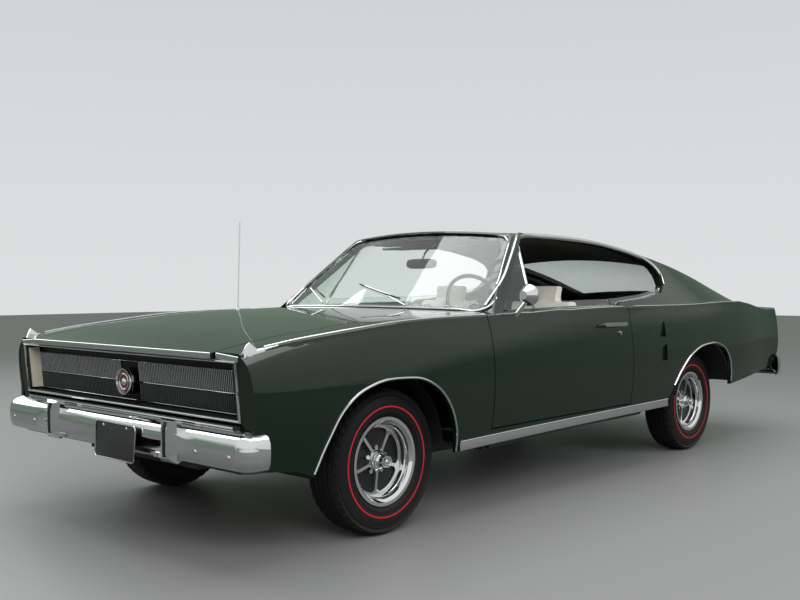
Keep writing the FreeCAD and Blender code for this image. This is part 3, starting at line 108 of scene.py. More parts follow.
# A value that drifts between two limits over the surface
def makeUnevenness():
    group, enter, leave = newGroup("unevenness", ("Value", "Float"), Size=6.0, Low=0.2, High=0.4, Detail=3.0)
    cloud = addNode(group, "TexNoise", {"Vector": objectPlace(group), "Scale": enter["Size"],
                                        "Detail": enter["Detail"]})
    drift = addNode(group, "MapRange", {"Value": cloud.outputs["Fac"], "From Min": 0.3, "From Max": 0.7,
                                        "To Min": enter["Low"], "To Max": enter["High"]})
    group.links.new(drift.outputs["Result"], leave)
    return group


# A normal for fine grain, such as vinyl, rubber or cast iron
def makeGrain():
    group, enter, leave = newGroup("grain", ("Normal", "Vector"), Size=400.0, Strength=0.2, Depth=0.001)
    place = objectPlace(group)
    cells = addNode(group, "TexVoronoi", {"Vector": place, "Scale": enter["Size"]})
    cloud = addNode(group, "TexNoise", {"Vector": place, "Scale": enter["Size"]})
    height = calculate(group, "ADD", cells.outputs["Distance"], cloud.outputs["Fac"])
    bump = addNode(group, "Bump", {"Height": height, "Strength": enter["Strength"],
                                   "Distance": enter["Depth"]})
    group.links.new(bump.outputs["Normal"], leave)
    return group


# Metal flakes in paint: tiny cells, each a little lighter or darker
def makeFlakes():
    group, enter, leave = newGroup("flakes", ("Colour", "Color"), Colour=(0.01, 0.03, 0.02, 1),
                                   Flake=(0.05, 0.12, 0.08, 1), Size=900.0, Share=0.35)
    place = objectPlace(group)
    cells = addNode(group, "TexVoronoi", {"Vector": place, "Scale": enter["Size"]})
    drift = addNode(group, "TexNoise", {"Vector": place, "Scale": 1.3})
    grey = addNode(group, "SeparateColor", {"Color": cells.outputs["Color"]})
    scaled = calculate(group, "MULTIPLY", grey.outputs["Red"], enter["Share"])
    more = calculate(group, "MULTIPLY_ADD", drift.outputs["Fac"], 0.12, scaled)
    group.links.new(mixColours(group, more, enter["Colour"], enter["Flake"]), leave)
    return group


# Dust that settles low on the car, as a colour over the finish below it
def makeRoadDust():
    group, enter, leave = newGroup("roadDust", ("Colour", "Color"), Colour=(0.02, 0.02, 0.02, 1),
                                   Dust=(0.10, 0.09, 0.075, 1), Top=0.45, Amount=0.5)
    place = objectPlace(group)
    fade = addNode(group, "MapRange", {"Value": splitAxes(group, place)["Z"], "From Min": 0.0,
                                       "From Max": enter["Top"], "To Min": 1.0, "To Max": 0.0})
    cloud = addNode(group, "TexNoise", {"Vector": place, "Scale": 9.0, "Detail": 5.0})
    both = calculate(group, "MULTIPLY", fade.outputs["Result"], cloud.outputs["Fac"])
    share = calculate(group, "MULTIPLY", both, enter["Amount"], use_clamp=True)
    group.links.new(mixColours(group, share, enter["Colour"], enter["Dust"]), leave)
    return group


effects = {"unevenness": makeUnevenness(), "grain": makeGrain(),
           "flakes": makeFlakes(), "roadDust": makeRoadDust()}
print("shader groups built")


# A material whose shader's own sockets hold the constant values
def newMaterial(name, **values):
    material = bpy.data.materials.new(name)
    material.use_nodes = True
    shader = material.node_tree.nodes["Principled BSDF"]
    for socket, value in values.items():
        shader.inputs[socket.replace("_", " ")].default_value = value
    return material, shader


def effect(material, name, **values):
    node = material.node_tree.nodes.new("ShaderNodeGroup")
    node.node_tree = effects[name]
    for socket, value in values.items():
        node.inputs[socket].default_value = value
    return node.outputs[0]


def feed(material, shader, **sources):
    for socket, source in sources.items():
        material.node_tree.links.new(source, shader.inputs[socket.replace("_", " ")])


# A finish with its own drift in roughness, and grain or dust where asked
def makeFinish(name, colour, low, high, drift=5.0, metallic=0.0, grain=None, dust=None, coat=0.0, **values):
    material, shader = newMaterial(name, Base_Color=colour, Metallic=metallic, Coat_Weight=coat, **values)
    feed(material, shader, Roughness=effect(material, "unevenness", Size=drift, Low=low, High=high))
    if grain:
        size, strength, depth = grain
        feed(material, shader, Normal=effect(material, "grain", Size=size, Strength=strength, Depth=depth))
    if dust:
        top, amount = dust
        feed(material, shader,
             Base_Color=effect(material, "roadDust", Colour=colour, Top=top, Amount=amount))
    return material


def makeBodyPaint():
    paint = {"base": rgb(2, 15, 7), "flake": rgb(15, 52, 30), "flakeSize": 1400.0, "share": 0.20}
    material, shader = newMaterial("bodyPaint", Metallic=0.12, Specular_IOR_Level=0.12, Coat_Weight=0.95,
                                   Coat_Roughness=0.02, Coat_IOR=1.40)
    feed(material, shader,
         Base_Color=effect(material, "flakes", Colour=paint["base"], Flake=paint["flake"],
                           Size=paint["flakeSize"], Share=paint["share"]),
         Roughness=effect(material, "unevenness", Size=2.5, Low=0.34, High=0.42))
    return material


# Die-cast bars, the lower row in a darker grey than the upper
def makeGrilleMetal():
    tone = {"upper": rgb(24, 25, 26), "lower": rgb(13, 14, 14), "split": 0.690}
    material, shader = newMaterial("grilleMetal", Metallic=0.85)
    tree = material.node_tree
    half = calculate(tree, "GREATER_THAN", splitAxes(tree, objectPlace(tree))["Z"], tone["split"])
    feed(material, shader, Base_Color=mixColours(tree, half, tone["lower"], tone["upper"]),
         Roughness=effect(material, "unevenness", Size=12.0, Low=0.28, High=0.42))
    return material


# Grille surround: chrome along its outer lip, satin black within
def makeSurroundMetal():
    low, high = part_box("grille_surround")
    lip = {"side": high[0] - 0.0105, "top": high[2] - 0.0095, "bottom": low[2] + 0.0105,
           "bright": (0.74, 0.75, 0.76, 1), "black": rgb(11, 12, 12)}
    material, shader = newMaterial("surroundMetal")
    tree = material.node_tree
    axes = splitAxes(tree, objectPlace(tree))
    mask = calculate(tree, "GREATER_THAN", calculate(tree, "ABSOLUTE", axes["X"]), lip["side"])
    for operation, edge in (("GREATER_THAN", "top"), ("LESS_THAN", "bottom")):
        mask = calculate(tree, "MAXIMUM", mask, calculate(tree, operation, axes["Z"], lip[edge]))
    dull = addNode(tree, "MapRange", {"Value": mask, "To Min": 0.42, "To Max": 0.0}).outputs["Result"]
    rough = effect(material, "unevenness", Size=9.0, Low=0.05, High=0.12)
    feed(material, shader, Base_Color=mixColours(tree, mask, lip["black"], lip["bright"]), Metallic=mask,
         Roughness=calculate(tree, "ADD", dull, rough))
    return material


# Road-wheel chrome: black paint lies in the pockets between the ribs
def makeWheelChrome(name, middleY, middleX):
    pocket = {"deep": middleX + 0.0095, "reach": 0.147, "black": rgb(12, 12, 13),
              "bright": (0.78, 0.79, 0.80, 1), "dull": 0.4}
    material, shader = newMaterial(name)
    tree = material.node_tree
    axes = splitAxes(tree, objectPlace(tree))
    deep = calculate(tree, "LESS_THAN", calculate(tree, "ABSOLUTE", axes["X"]), pocket["deep"])
    up = calculate(tree, "SUBTRACT", axes["Z"], hubHeight)
    along = calculate(tree, "SUBTRACT", axes["Y"], middleY)
    squares = [calculate(tree, "MULTIPLY", side, side) for side in (up, along)]
    reach = calculate(tree, "SQRT", calculate(tree, "ADD", *squares))
    mask = calculate(tree, "MULTIPLY", deep, calculate(tree, "LESS_THAN", reach, pocket["reach"]))
    rough = effect(material, "unevenness", Size=14.0, Low=0.04, High=0.10)
    feed(material, shader, Base_Color=mixColours(tree, mask, pocket["bright"], pocket["black"]),
         Metallic=calculate(tree, "SUBTRACT", 1.0, mask),
         Roughness=calculate(tree, "ADD", rough, calculate(tree, "MULTIPLY", mask, pocket["dull"])))
    return material


paints = {
    "body": makeBodyPaint(),
    "chrome": makeFinish("brightChrome", (0.74, 0.75, 0.76, 1), 0.03, 0.07, 7, 1.0),
    "frontWheel": makeWheelChrome("frontWheelChrome", frontAxle, halfTrack["front"]),
    "rearWheel": makeWheelChrome("rearWheelChrome", frontAxle + wheelbase, halfTrack["rear"]),
    "steel": makeFinish("polishedStainless", (0.70, 0.71, 0.72, 1), 0.10, 0.17, 9, 1.0),
    "grille": makeGrilleMetal(),
    "surround": makeSurroundMetal(),
    "black": makeFinish("satinBlack", rgb(14, 15, 15), 0.38, 0.52, 8),
    "rubber": makeFinish("tyreRubber", rgb(15, 15, 16), 0.55, 0.72, 9, Specular_IOR_Level=0.3,
                         grain=(520, 0.25, 0.0006), dust=(0.30, 0.16)),
    "seal": makeFinish("sealRubber", rgb(16, 16, 17), 0.55, 0.70, 14),
    "stripe": makeFinish("redStripe", rgb(168, 26, 30), 0.50, 0.64, 11, grain=(420, 0.12, 0.0005)),
    "glass": makeFinish("tintedGlass", (0.84, 0.93, 0.88, 1), 0.0, 0.015, 2, Transmission_Weight=1.0,
                        IOR=1.45),
    "under": makeFinish("underPaint", rgb(20, 21, 21), 0.55, 0.75, 6, grain=(160, 0.3, 0.001),
                        dust=(0.50, 0.55)),
    "iron": makeFinish("chassisIron", rgb(38, 37, 36), 0.50, 0.72, 8, 0.4, (220, 0.35, 0.001), (0.45, 0.6)),
    "engine": makeFinish("enginePaint", rgb(196, 74, 30), 0.34, 0.50, 6, grain=(180, 0.2, 0.001)),
    "tank": makeFinish("tankSteel", rgb(104, 107, 108), 0.36, 0.55, 10, 0.8, dust=(0.40, 0.5)),
    "dash": makeFinish("dashPlastic", rgb(24, 28, 26), 0.40, 0.55, 6, grain=(380, 0.3, 0.0006)),
    "vinyl": makeFinish("seatVinyl", rgb(206, 203, 192), 0.38, 0.52, 7, grain=(330, 0.28, 0.0007)),
    "lining": makeFinish("headlining", rgb(30, 33, 31), 0.70, 0.85, 5, grain=(600, 0.3, 0.0006)),
    "carpet": makeFinish("floorCarpet", rgb(22, 25, 23), 0.85, 0.95, 20, grain=(700, 0.8, 0.002)),
    "redLens": makeFinish("redLens", rgb(150, 12, 12), 0.05, 0.12, 14, coat=1.0),
    "paleLens": makeFinish("paleLens", rgb(196, 190, 172), 0.08, 0.16, 14, coat=1.0),
    "plate": makeFinish("blankPlate", rgb(38, 39, 38), 0.30, 0.42, 16, grain=(300, 0.15, 0.0004)),
    "emblem": makeFinish("emblemEnamel", rgb(92, 18, 20), 0.12, 0.2, 20, coat=1.0),
    "finUpper": makeFinish("finBright", rgb(186, 189, 190), 0.22, 0.34, 12, 0.9),
    "finLower": makeFinish("finDull", rgb(104, 108, 108), 0.26, 0.40, 12, 0.9),
    "mirror": makeFinish("mirrorGlass", (0.86, 0.87, 0.88, 1), 0.0, 0.02, 5, 1.0),
    "dial": makeFinish("dialFace", rgb(20, 21, 22), 0.3, 0.4, 18),
}
print("finishes mixed:", len(paints))

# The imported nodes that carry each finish
nodeFinish = {
    "body": "fender_left fender_right hood cowl_firewall door_left door_right quarter_left quarter_right "
            "roof deck_lid tail_panel sills",
    # the front valance is body colour on the car; its satin black here is painted shade, for the shadow
    # under the bumper
    "black": "radiator_support front_valance",
    "glass": "windscreen rear_glass door_glass_left door_glass_right quarter_glass",
    "rubber": "tyre_front_left tyre_front_right tyre_rear_left tyre_rear_right",
    "frontWheel": "wheel_front_left wheel_front_right",
    "rearWheel": "wheel_rear_left wheel_rear_right",
    "chrome": "front_bumper rear_bumper door_hardware_left door_hardware_right",
    "surround": "grille_surround", "steel": "wipers antenna", "grille": "grille",
    "under": "floor_pan front_wheelhouses front_rails rear_rails",
    "iron": "front_suspension knuckle_left knuckle_right rear_axle leaf_springs drivetrain",
    "engine": "engine", "tank": "fuel_tank exhaust",
    "dash": "dashboard steering_column steering_wheel console seat_frames",
    "vinyl": "front_seats rear_seats", "redLens": "tail_lamps", "paleLens": "turn_lamps",
}


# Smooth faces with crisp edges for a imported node; its own corners stay where they are
def dressNode(name, material):
    node = nodes[name]
    node.data.materials.clear()
    node.data.materials.append(material)
    for face in node.data.polygons:
        face.use_smooth = True
    node.modifiers.new("weld", "WELD").merge_threshold = 0.00002
    node.modifiers.new("crisp", "EDGE_SPLIT").split_angle = math.radians(32)


for finish, names in nodeFinish.items():
    for name in names.split():
        dressNode(name, paints[finish])
print("packed nodes finished")


mirrorX = Matrix.Scale(-1, 4, (1, 0, 0))


def setMode(mode):
    bpy.ops.object.mode_set(mode=mode)


def deselectAll():
    if bpy.context.mode != "OBJECT":
        setMode("OBJECT")
    bpy.ops.object.select_all(action="DESELECT")


# In edit mode: every corner
def selectMesh():
    bpy.ops.mesh.select_all(action="SELECT")


def extrude(move):
    bpy.ops.mesh.extrude_region_move(TRANSFORM_OT_translate={"value": Vector(move)})


def pick(piece):
    deselectAll()
    piece.select_set(True)
    bpy.context.view_layer.objects.active = piece


# Place and turn go into the mesh, then the piece gets its finish and the body it rides on
def settle(piece, name, finish, body="car_body", angle=35):
    pick(piece)
    bpy.ops.object.transform_apply(location=True, rotation=True, scale=True)
    piece.name = name
    piece.data.materials.clear()
    piece.data.materials.append(paints[finish])
    bpy.ops.object.shade_smooth_by_angle(angle=math.radians(angle))
    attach(piece, body)
    return piece


# A copy with its own mesh, moved by a matrix and set on its own body
def twin(piece, name, body="car_body", move=mirrorX):
    pick(piece)
    bpy.ops.object.duplicate()
    other = bpy.context.active_object
    other.name = name
    other.data.transform(move)
    if move.is_negative:
        other.data.flip_normals()
    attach(other, body)
    return other


def joinPieces(pieces, name):
    pick(pieces[0])
    for piece in pieces:
        piece.select_set(True)
    bpy.ops.object.join()
    whole = bpy.context.active_object
    whole.name = name
    return whole


# A modifier that is set and applied at once
def modify(piece, kind, **settings):
    change = piece.modifiers.new(kind.lower(), kind)
    for name, value in settings.items():
        setattr(change, name, value)
    bpy.ops.object.modifier_apply(modifier=change.name)


def fillAndPush(push):
    selectMesh()
    bpy.ops.mesh.edge_face_add()
    extrude(push)


def closeMesh():
    selectMesh()
    bpy.ops.mesh.normals_make_consistent(inside=False)
    setMode("OBJECT")


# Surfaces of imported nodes, kept for finding the place that a piece is seated on
surfaces = {}


def surface(*names):
    if names not in surfaces:
        corners = []
        faces = []
        for name in names:
            start = len(corners)
            mesh = nodes[name].data
            corners += [corner.co.copy() for corner in mesh.vertices]
            faces += [[start + index for index in face.vertices] for face in mesh.polygons]
        surfaces[names] = BVHTree.FromPolygons(corners, faces)
    return surfaces[names]


# Node names stand in one string, so that a single node needs no list
def cast(names, origin, way):
    return surface(*names.split()).ray_cast(Vector(origin), Vector(way))[0]


# Point on a flank, looking in from the left at a place behind the front axle and a height
def onSide(names, behind, high, proud=0.0):
    hit = cast(names, (1.4, aft(behind), high), (-1, 0, 0))
    return hit + Vector((proud, 0, 0)) if hit else None


def onTop(names, across, behind, proud=0.0):
    hit = cast(names, (across, aft(behind), 2.0), (0, 0, -1))
    return hit + Vector((0, 0, proud)) if hit else None


def onFront(names, across, high):
    return cast(names, (across, aft(-1.2), high), (0, 1, 0))


# First point that a moving line of sight meets, such as the edge of a pane
def edgeFrom(names, start, step, way, count):
    for index in range(count):
        hit = cast(names, Vector(start) + index * Vector(step), way)
        if hit:
            return hit
    return None


def shifted(spots, *offset):
    return [spot + Vector(offset) for spot in spots if spot]


# Moulding or rod along a line: round, or a band where it is given a half width
def makeRod(name, points, radius, finish, body="car_body", halfWidth=0.0, closed=False, steps=6,
            sharp=False):
    points = [point for point in points if point is not None]
    deselectAll()
    bpy.ops.curve.primitive_bezier_curve_add()
    line = bpy.context.active_object
    way = line.data.splines[0]
    way.bezier_points.add(len(points) - len(way.bezier_points))
    for knot, point in zip(way.bezier_points, points):
        knot.co = point
        knot.handle_left_type = knot.handle_right_type = "VECTOR" if sharp else "AUTO"
    way.use_cyclic_u = closed
    line.data.dimensions = "3D"
    line.data.twist_mode = "Z_UP"
    line.data.bevel_depth = radius
    line.data.bevel_resolution = 2
    line.data.extrude = halfWidth
    line.data.resolution_u = steps
    line.data.use_fill_caps = not closed
    bpy.ops.object.convert(target="MESH")
    return settle(bpy.context.active_object, name, finish, body)


# A rod on the car's left and its mirror image on the right
def makeRodPair(name, points, radius, finish, bodies=("car_body", "car_body"), **shape):
    rod = makeRod(name + "_left", points, radius, finish, bodies[0], **shape)
    twin(rod, name + "_right", bodies[1])


# Open line of corners drawn by extruding one point; the piece is left in edit mode
def drawLine(points):
    deselectAll()
    bpy.ops.mesh.primitive_plane_add(size=0.01, location=points[0])
    piece = bpy.context.active_object
    bpy.ops.object.transform_apply(location=True, rotation=False, scale=False)
    setMode("EDIT")
    selectMesh()
    bpy.ops.mesh.merge(type="CENTER")
    for before, here in zip(points, points[1:]):
        extrude(Vector(here) - Vector(before))
    return piece


# Solid turned from a profile of (along the axis, radius) corners about an axis through a centre
def turnProfile(profile, centre, axis, steps):
    ways = {"X": ((1, 0, 0), (0, 0, 1)), "Y": ((0, 1, 0), (0, 0, 1)), "Z": ((0, 0, 1), (1, 0, 0))}
    along, out = [Vector(way) for way in ways[axis]]
    piece = drawLine([Vector(centre) + along * step + out * radius for step, radius in profile])
    selectMesh()
    bpy.ops.mesh.spin(steps=steps, angle=math.tau, center=centre, axis=along)
    selectMesh()
    bpy.ops.mesh.remove_doubles(threshold=0.00003)
    closeMesh()
    return piece


def makeTurned(name, profile, centre, finish, body="car_body", axis="Y", steps=48):
    return settle(turnProfile(profile, centre, axis, steps), name, finish, body)


# Plate or block: a flat outline, pushed out by a thickness and softened along its edges
def makePlate(name, outline, push, finish, body="car_body", soft=0.001, segments=2):
    piece = drawLine(outline)
    fillAndPush(push)
    closeMesh()
    modify(piece, "BEVEL", width=soft, segments=segments, limit_method="ANGLE")
    return settle(piece, name, finish, body)


# Corners of an upright rectangle that faces along the car
def uprightBox(x, y, z, halfX, halfZ, lean=0.0):
    return [(x - halfX, y, z - halfZ), (x + halfX, y, z - halfZ),
            (x + halfX, y + lean, z + halfZ), (x - halfX, y + lean, z + halfZ)]


# Sheet that follows packed surfaces: a grid is dropped on them along a direction
def makeLining(name, names, low, high, counts, way, proud, thick, finish, body="car_body"):
    deselectAll()
    bpy.ops.mesh.primitive_grid_add(x_subdivisions=counts[0], y_subdivisions=counts[1], size=2)
    piece = bpy.context.active_object
    way, low, high = Vector(way), Vector(low), Vector(high)
    lost = []
    for corner in piece.data.vertices:
        u, v = (corner.co.x + 1) / 2, (corner.co.y + 1) / 2
        shares = Vector((0, u, v)) if way.x else Vector((u, v, 0))
        start = low + shares * (high - low)
        hit = cast(names, start, way)
        corner.co = hit - way * proud if hit else start
        if not hit:
            lost.append(corner.index)
    setMode("EDIT")
    bpy.ops.mesh.select_all(action="DESELECT")
    setMode("OBJECT")
    for index in lost:
        piece.data.vertices[index].select = True
    setMode("EDIT")
    bpy.ops.mesh.delete(type="VERT")
    closeMesh()
    modify(piece, "SOLIDIFY", thickness=thick, offset=0.0)
    return settle(piece, name, finish, body, 40)


print("tools ready")


# Arch mouldings: a rolled bright lip round each wheel opening
def makeArchLips():
    arch = {"front": [(-0.480, 0.345), (-0.425, 0.475), (-0.335, 0.603), (-0.200, 0.672), (0.000, 0.690),
                      (0.160, 0.662), (0.290, 0.566), (0.362, 0.430), (0.378, 0.330)],
            "rear": [(2.446, 0.360), (2.510, 0.470), (2.610, 0.570), (2.765, 0.662), (2.965, 0.704),
                     (3.150, 0.690), (3.268, 0.620), (3.312, 0.500), (3.315, 0.440)],
            "middleHigh": 0.33, "lipRadius": 0.0055, "offEdge": 0.006, "proud": 0.002}
    for end, middle, panels in (("front", 0.0, "fender_left sills"),
                                ("rear", wheelbase, "quarter_left sills")):
        line = []
        for behind, high in arch[end]:
            out = Vector((behind - middle, high - arch["middleHigh"])).normalized() * arch["offEdge"]
            line.append(onSide(panels, behind + out.x, high + out.y, arch["proud"]))
        makeRodPair("archLip_" + end, line, arch["lipRadius"], "steel", steps=8)


# Sill moulding: one broad bright band with a rolled edge above and below
def makeSillMoulding():
    moulding = {"start": 0.405, "end": 2.435, "highFront": 0.349, "highRear": 0.372, "half": 0.021,
                "thick": 0.0025, "edge": 0.0035, "proud": 0.004, "points": 15}
    panels = "sills fender_left quarter_left"
    line = []
    rolls = {1: [], -1: []}
    for behind, high in zip(spread(moulding["start"], moulding["end"], moulding["points"]),
                            spread(moulding["highFront"], moulding["highRear"], moulding["points"])):
        spot = onSide(panels, behind, high, moulding["proud"])
        if spot is None:
            continue
        line.append(spot)
        for way in rolls:
            rolls[way].append(onSide(panels, behind, high + way * moulding["half"], moulding["proud"])
                              or spot + Vector((0, 0, way * moulding["half"])))
    parts = [makeRod("band", line, moulding["thick"], "steel", halfWidth=moulding["half"])]
    parts += [makeRod("roll", rolls[way], moulding["edge"], "steel") for way in rolls]
    twin(joinPieces(parts, "sillMoulding_left"), "sillMoulding_right")


# Line along the top outer edge of side panels
def findCrest(names, start, end, count):
    line = []
    for behind in spread(start, end, count):
        spots = [onTop(names, across, behind) for across in spread(0.780, 1.016, 60)]
        if any(spots):
            line.append(max(filter(None, spots), key=lambda spot: 0.8 * spot.x + 0.6 * spot.z))
    return shifted(line, 0.001, 0, 0.002)


# Mouldings along the tops of the fenders and quarters: bright rods that stand partly for thin trim and
# partly for a painted highlight along the crease
def makeTopMouldings():
    peak = [(0.866, -0.700), (0.872, -0.565), (0.879, -0.381), (0.887, -0.183), (0.891, 0.035),
            (0.895, 0.271), (0.897, 0.530), (0.899, 0.640)]
    line = [onTop("fender_left", across - 0.012, behind, 0.002) for across, behind in peak]
    makeRodPair("fenderMouldingAndHighlight", line, 0.0042, "steel")
    makeRodPair("quarterMouldingAndHighlight", findCrest("quarter_left", 2.060, 4.160, 22), 0.0038, "steel")


# Bands along the hood's front edge and the fender tips beside it, and a thin line under the grille
def makeNoseMouldings():
    band = {"half": 0.0085, "edge": 0.0032, "high": 0.8235, "proud": 0.003, "drop": 0.010,
            "tipsAhead": -0.76, "lineAhead": -0.75, "lineBelow": 0.020, "lineRadius": 0.0055}
    line = [onFront("hood", across, band["high"]) for across in spread(-0.693, 0.693, 15)]
    makeRod("hoodMoulding", shifted(line, 0, -band["proud"], 0), band["edge"], "chrome", "hood_lid",
            band["half"])
    tips = [onFront("fender_left", across, high) for across, high in
            zip(spread(0.710, 0.845, 6), spread(band["high"], band["high"] - band["drop"], 6))]
    tips = [spot for spot in tips if spot and spot.y < aft(band["tipsAhead"])]
    makeRodPair("noseMoulding", shifted(tips, 0, -band["proud"], 0), band["edge"], "chrome",
                halfWidth=band["half"])
    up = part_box("grille_surround")[0][2] - band["lineBelow"]
    low = []
    for across in spread(-0.800, 0.800, 15):
        spot = onFront("front_valance radiator_support fender_left fender_right", across, up)
        if spot:
            low.append((across, min(spot.y, aft(band["lineAhead"])) - 0.004, up))
    makeRod("valanceMoulding", low, band["lineRadius"], "chrome")


# Edge of the windscreen, met from the front by a line of sight that moves from a place
def screenEdge(across, high, step, count):
    return edgeFrom("windscreen", (across, aft(-0.5), high), step, (0, 1, 0), count)


# Bright frame of the windscreen, and two lines along the pillar and the roof beside it
def makeGlassFrames():
    frames = {"rod": 0.0055, "drip": 0.0065, "strip": 0.004, "dripOff": 0.06}
    above = [screenEdge(across, 1.45, (0, 0, -0.001), 400) for across in spread(-0.585, 0.585, 13)]
    beside = [screenEdge(0.95, high, (-0.001, 0, 0), 500) for high in spread(1.005, 1.365, 9)]
    below = [screenEdge(across, 0.90, (0, 0, 0.001), 200) for across in spread(-0.735, 0.735, 15)]
    above, left, below = [shifted(line, 0, -0.004, 0.004) for line in (above, beside, below)]
    right = [mirrorX @ spot for spot in left]
    makeRod("windscreenFrame", below + left + above[::-1] + right[::-1], frames["rod"], "steel",
            closed=True, steps=3)

    # the drip rail runs up the pillar, over the doors and down to the quarter
    drip = [(0.830, 0.745, 0.990), (1.000, 0.703, 1.120), (1.150, 0.656, 1.238), (1.273, 0.610, 1.345),
            (1.330, 0.612, 1.374), (1.450, 0.612, 1.380), (1.573, 0.612, 1.381), (1.800, 0.616, 1.375),
            (2.044, 0.622, 1.363), (2.264, 0.632, 1.342), (2.420, 0.642, 1.321), (2.543, 0.652, 1.298),
            (2.620, 0.664, 1.270), (2.680, 0.680, 1.245)]
    line = []
    for behind, across, high in drip:
        spot = onSide("roof", behind, high, 0.002)
        near = spot and abs(spot.x - across) < frames["dripOff"]
        line.append(spot if near else Vector((across, aft(behind), high)))
    makeRodPair("dripRail", line, frames["drip"], "steel", steps=5)

    # a second strip lies on the pillar between the windscreen's frame and the drip rail
    strip = []
    for behind, high in zip(spread(0.850, 1.214, 8), spread(1.006, 1.3175, 8)):
        inner = screenEdge(0.95, high, (-0.001, 0, 0), 500)
        outer = onSide("roof", behind, high, 0.002)
        if inner and outer:
            strip.append(cast("roof cowl_firewall", ((inner.x + outer.x) / 2, aft(-0.5), high), (0, 1, 0)))
    makeRodPair("pillarStrip", shifted(strip, 0.001, -0.002, 0), frames["strip"], "steel")


# Trim round the side windows, and a bright rod along the top of the door that is a painted highlight on its
# crease
def makeSideWindowTrim():
    edge = [(2.010, 0.999), (2.200, 1.006), (2.396, 1.018), (2.560, 1.036), (2.660, 1.052), (2.742, 1.094),
            (2.769, 1.150), (2.755, 1.204), (2.686, 1.250), (2.550, 1.284), (2.270, 1.330), (2.044, 1.352),
            (1.800, 1.364), (1.573, 1.368), (1.400, 1.368), (1.322, 1.357)]
    line = [onSide("roof quarter_left", behind, high, 0.001) for behind, high in edge]
    makeRodPair("windowTrim", line, 0.0035, "steel", halfWidth=0.007, steps=5)
    # painted highlight: a bright rod laid where the crease along the door's top catches the light
    beltHighlight = [spot for spot in findCrest("door_left", 0.720, 1.930, 14) if spot.z > 0.9]
    makeRodPair("doorBeltHighlight", beltHighlight, 0.0038, "steel", ("left_door", "right_door"))


# Bright frame and divider of the fixed vent pane, found along the pane's own edges
def makeVentFrames():
    vent = {"divider": 0.0085, "frame": 0.006, "rearLimit": 1.36}
    front, rear = [], []
    for high in spread(1.015, 1.339, 13):
        front.append(edgeFrom("door_glass_left", (1.4, aft(0.60), high), (0, 0.001, 0), (-1, 0, 0), 900))
        rear.append(edgeFrom("door_glass_left", (1.4, aft(1.45), high), (0, -0.001, 0), (-1, 0, 0), 700))
    front = shifted(front, -0.002, 0.004, 0)
    rear = shifted([spot for spot in rear if spot and spot.y < aft(vent["rearLimit"])], -0.002, -0.002, 0)
    pieces = [makeRod("ventDivider", [rear[0], rear[-1]], vent["divider"], "steel", "left_door", sharp=True),
              makeRod("ventFront", front, vent["frame"], "steel", "left_door")]
    twin(joinPieces(pieces, "ventFrame_left"), "ventFrame_right", "right_door")


# Ornaments on the tips of the fenders: a cornered face that tapers back along the fender's crest
def makeTipOrnaments():
    tip = {"front": -0.806, "back": -0.640, "wide": 0.017, "tall": 0.056, "lean": 0.034, "neck": 0.040}
    foot = onTop("fender_left", 0.855, -0.775)
    tail = onTop("fender_left", 0.862, tip["back"])
    x, y, z = foot.x, aft(tip["front"]), foot.z - 0.016
    wide, tall, lean, neck = tip["wide"], tip["tall"], tip["lean"], tip["neck"]
    piece = drawLine([(x - wide, y, z), (x + wide * 0.8, y + 0.004, z - 0.004),
                      (x + wide * 0.5, y + lean * 0.8, z + tall * 0.8), (x, y + lean, z + tall),
                      (x - wide * 0.6, y + lean * 0.8, z + tall * 0.8)])
    fillAndPush((0, neck, 0))
    bpy.ops.transform.resize(value=(0.62, 1.0, 0.50), center_override=(x, y + neck, z))
    extrude((tail.x - x, tail.y - y - neck, tail.z - z))
    bpy.ops.transform.resize(value=(0.25, 0.25, 0.14), center_override=(tail.x, tail.y, tail.z - 0.002))
    closeMesh()
    modify(piece, "BEVEL", width=0.0025, segments=3)
    settle(piece, "tipOrnament_left", "chrome")
    twin(piece, "tipOrnament_right")


makeArchLips()
makeSillMoulding()
makeTopMouldings()
makeNoseMouldings()
makeGlassFrames()
makeSideWindowTrim()
makeVentFrames()
makeTipOrnaments()
print("mouldings fitted")


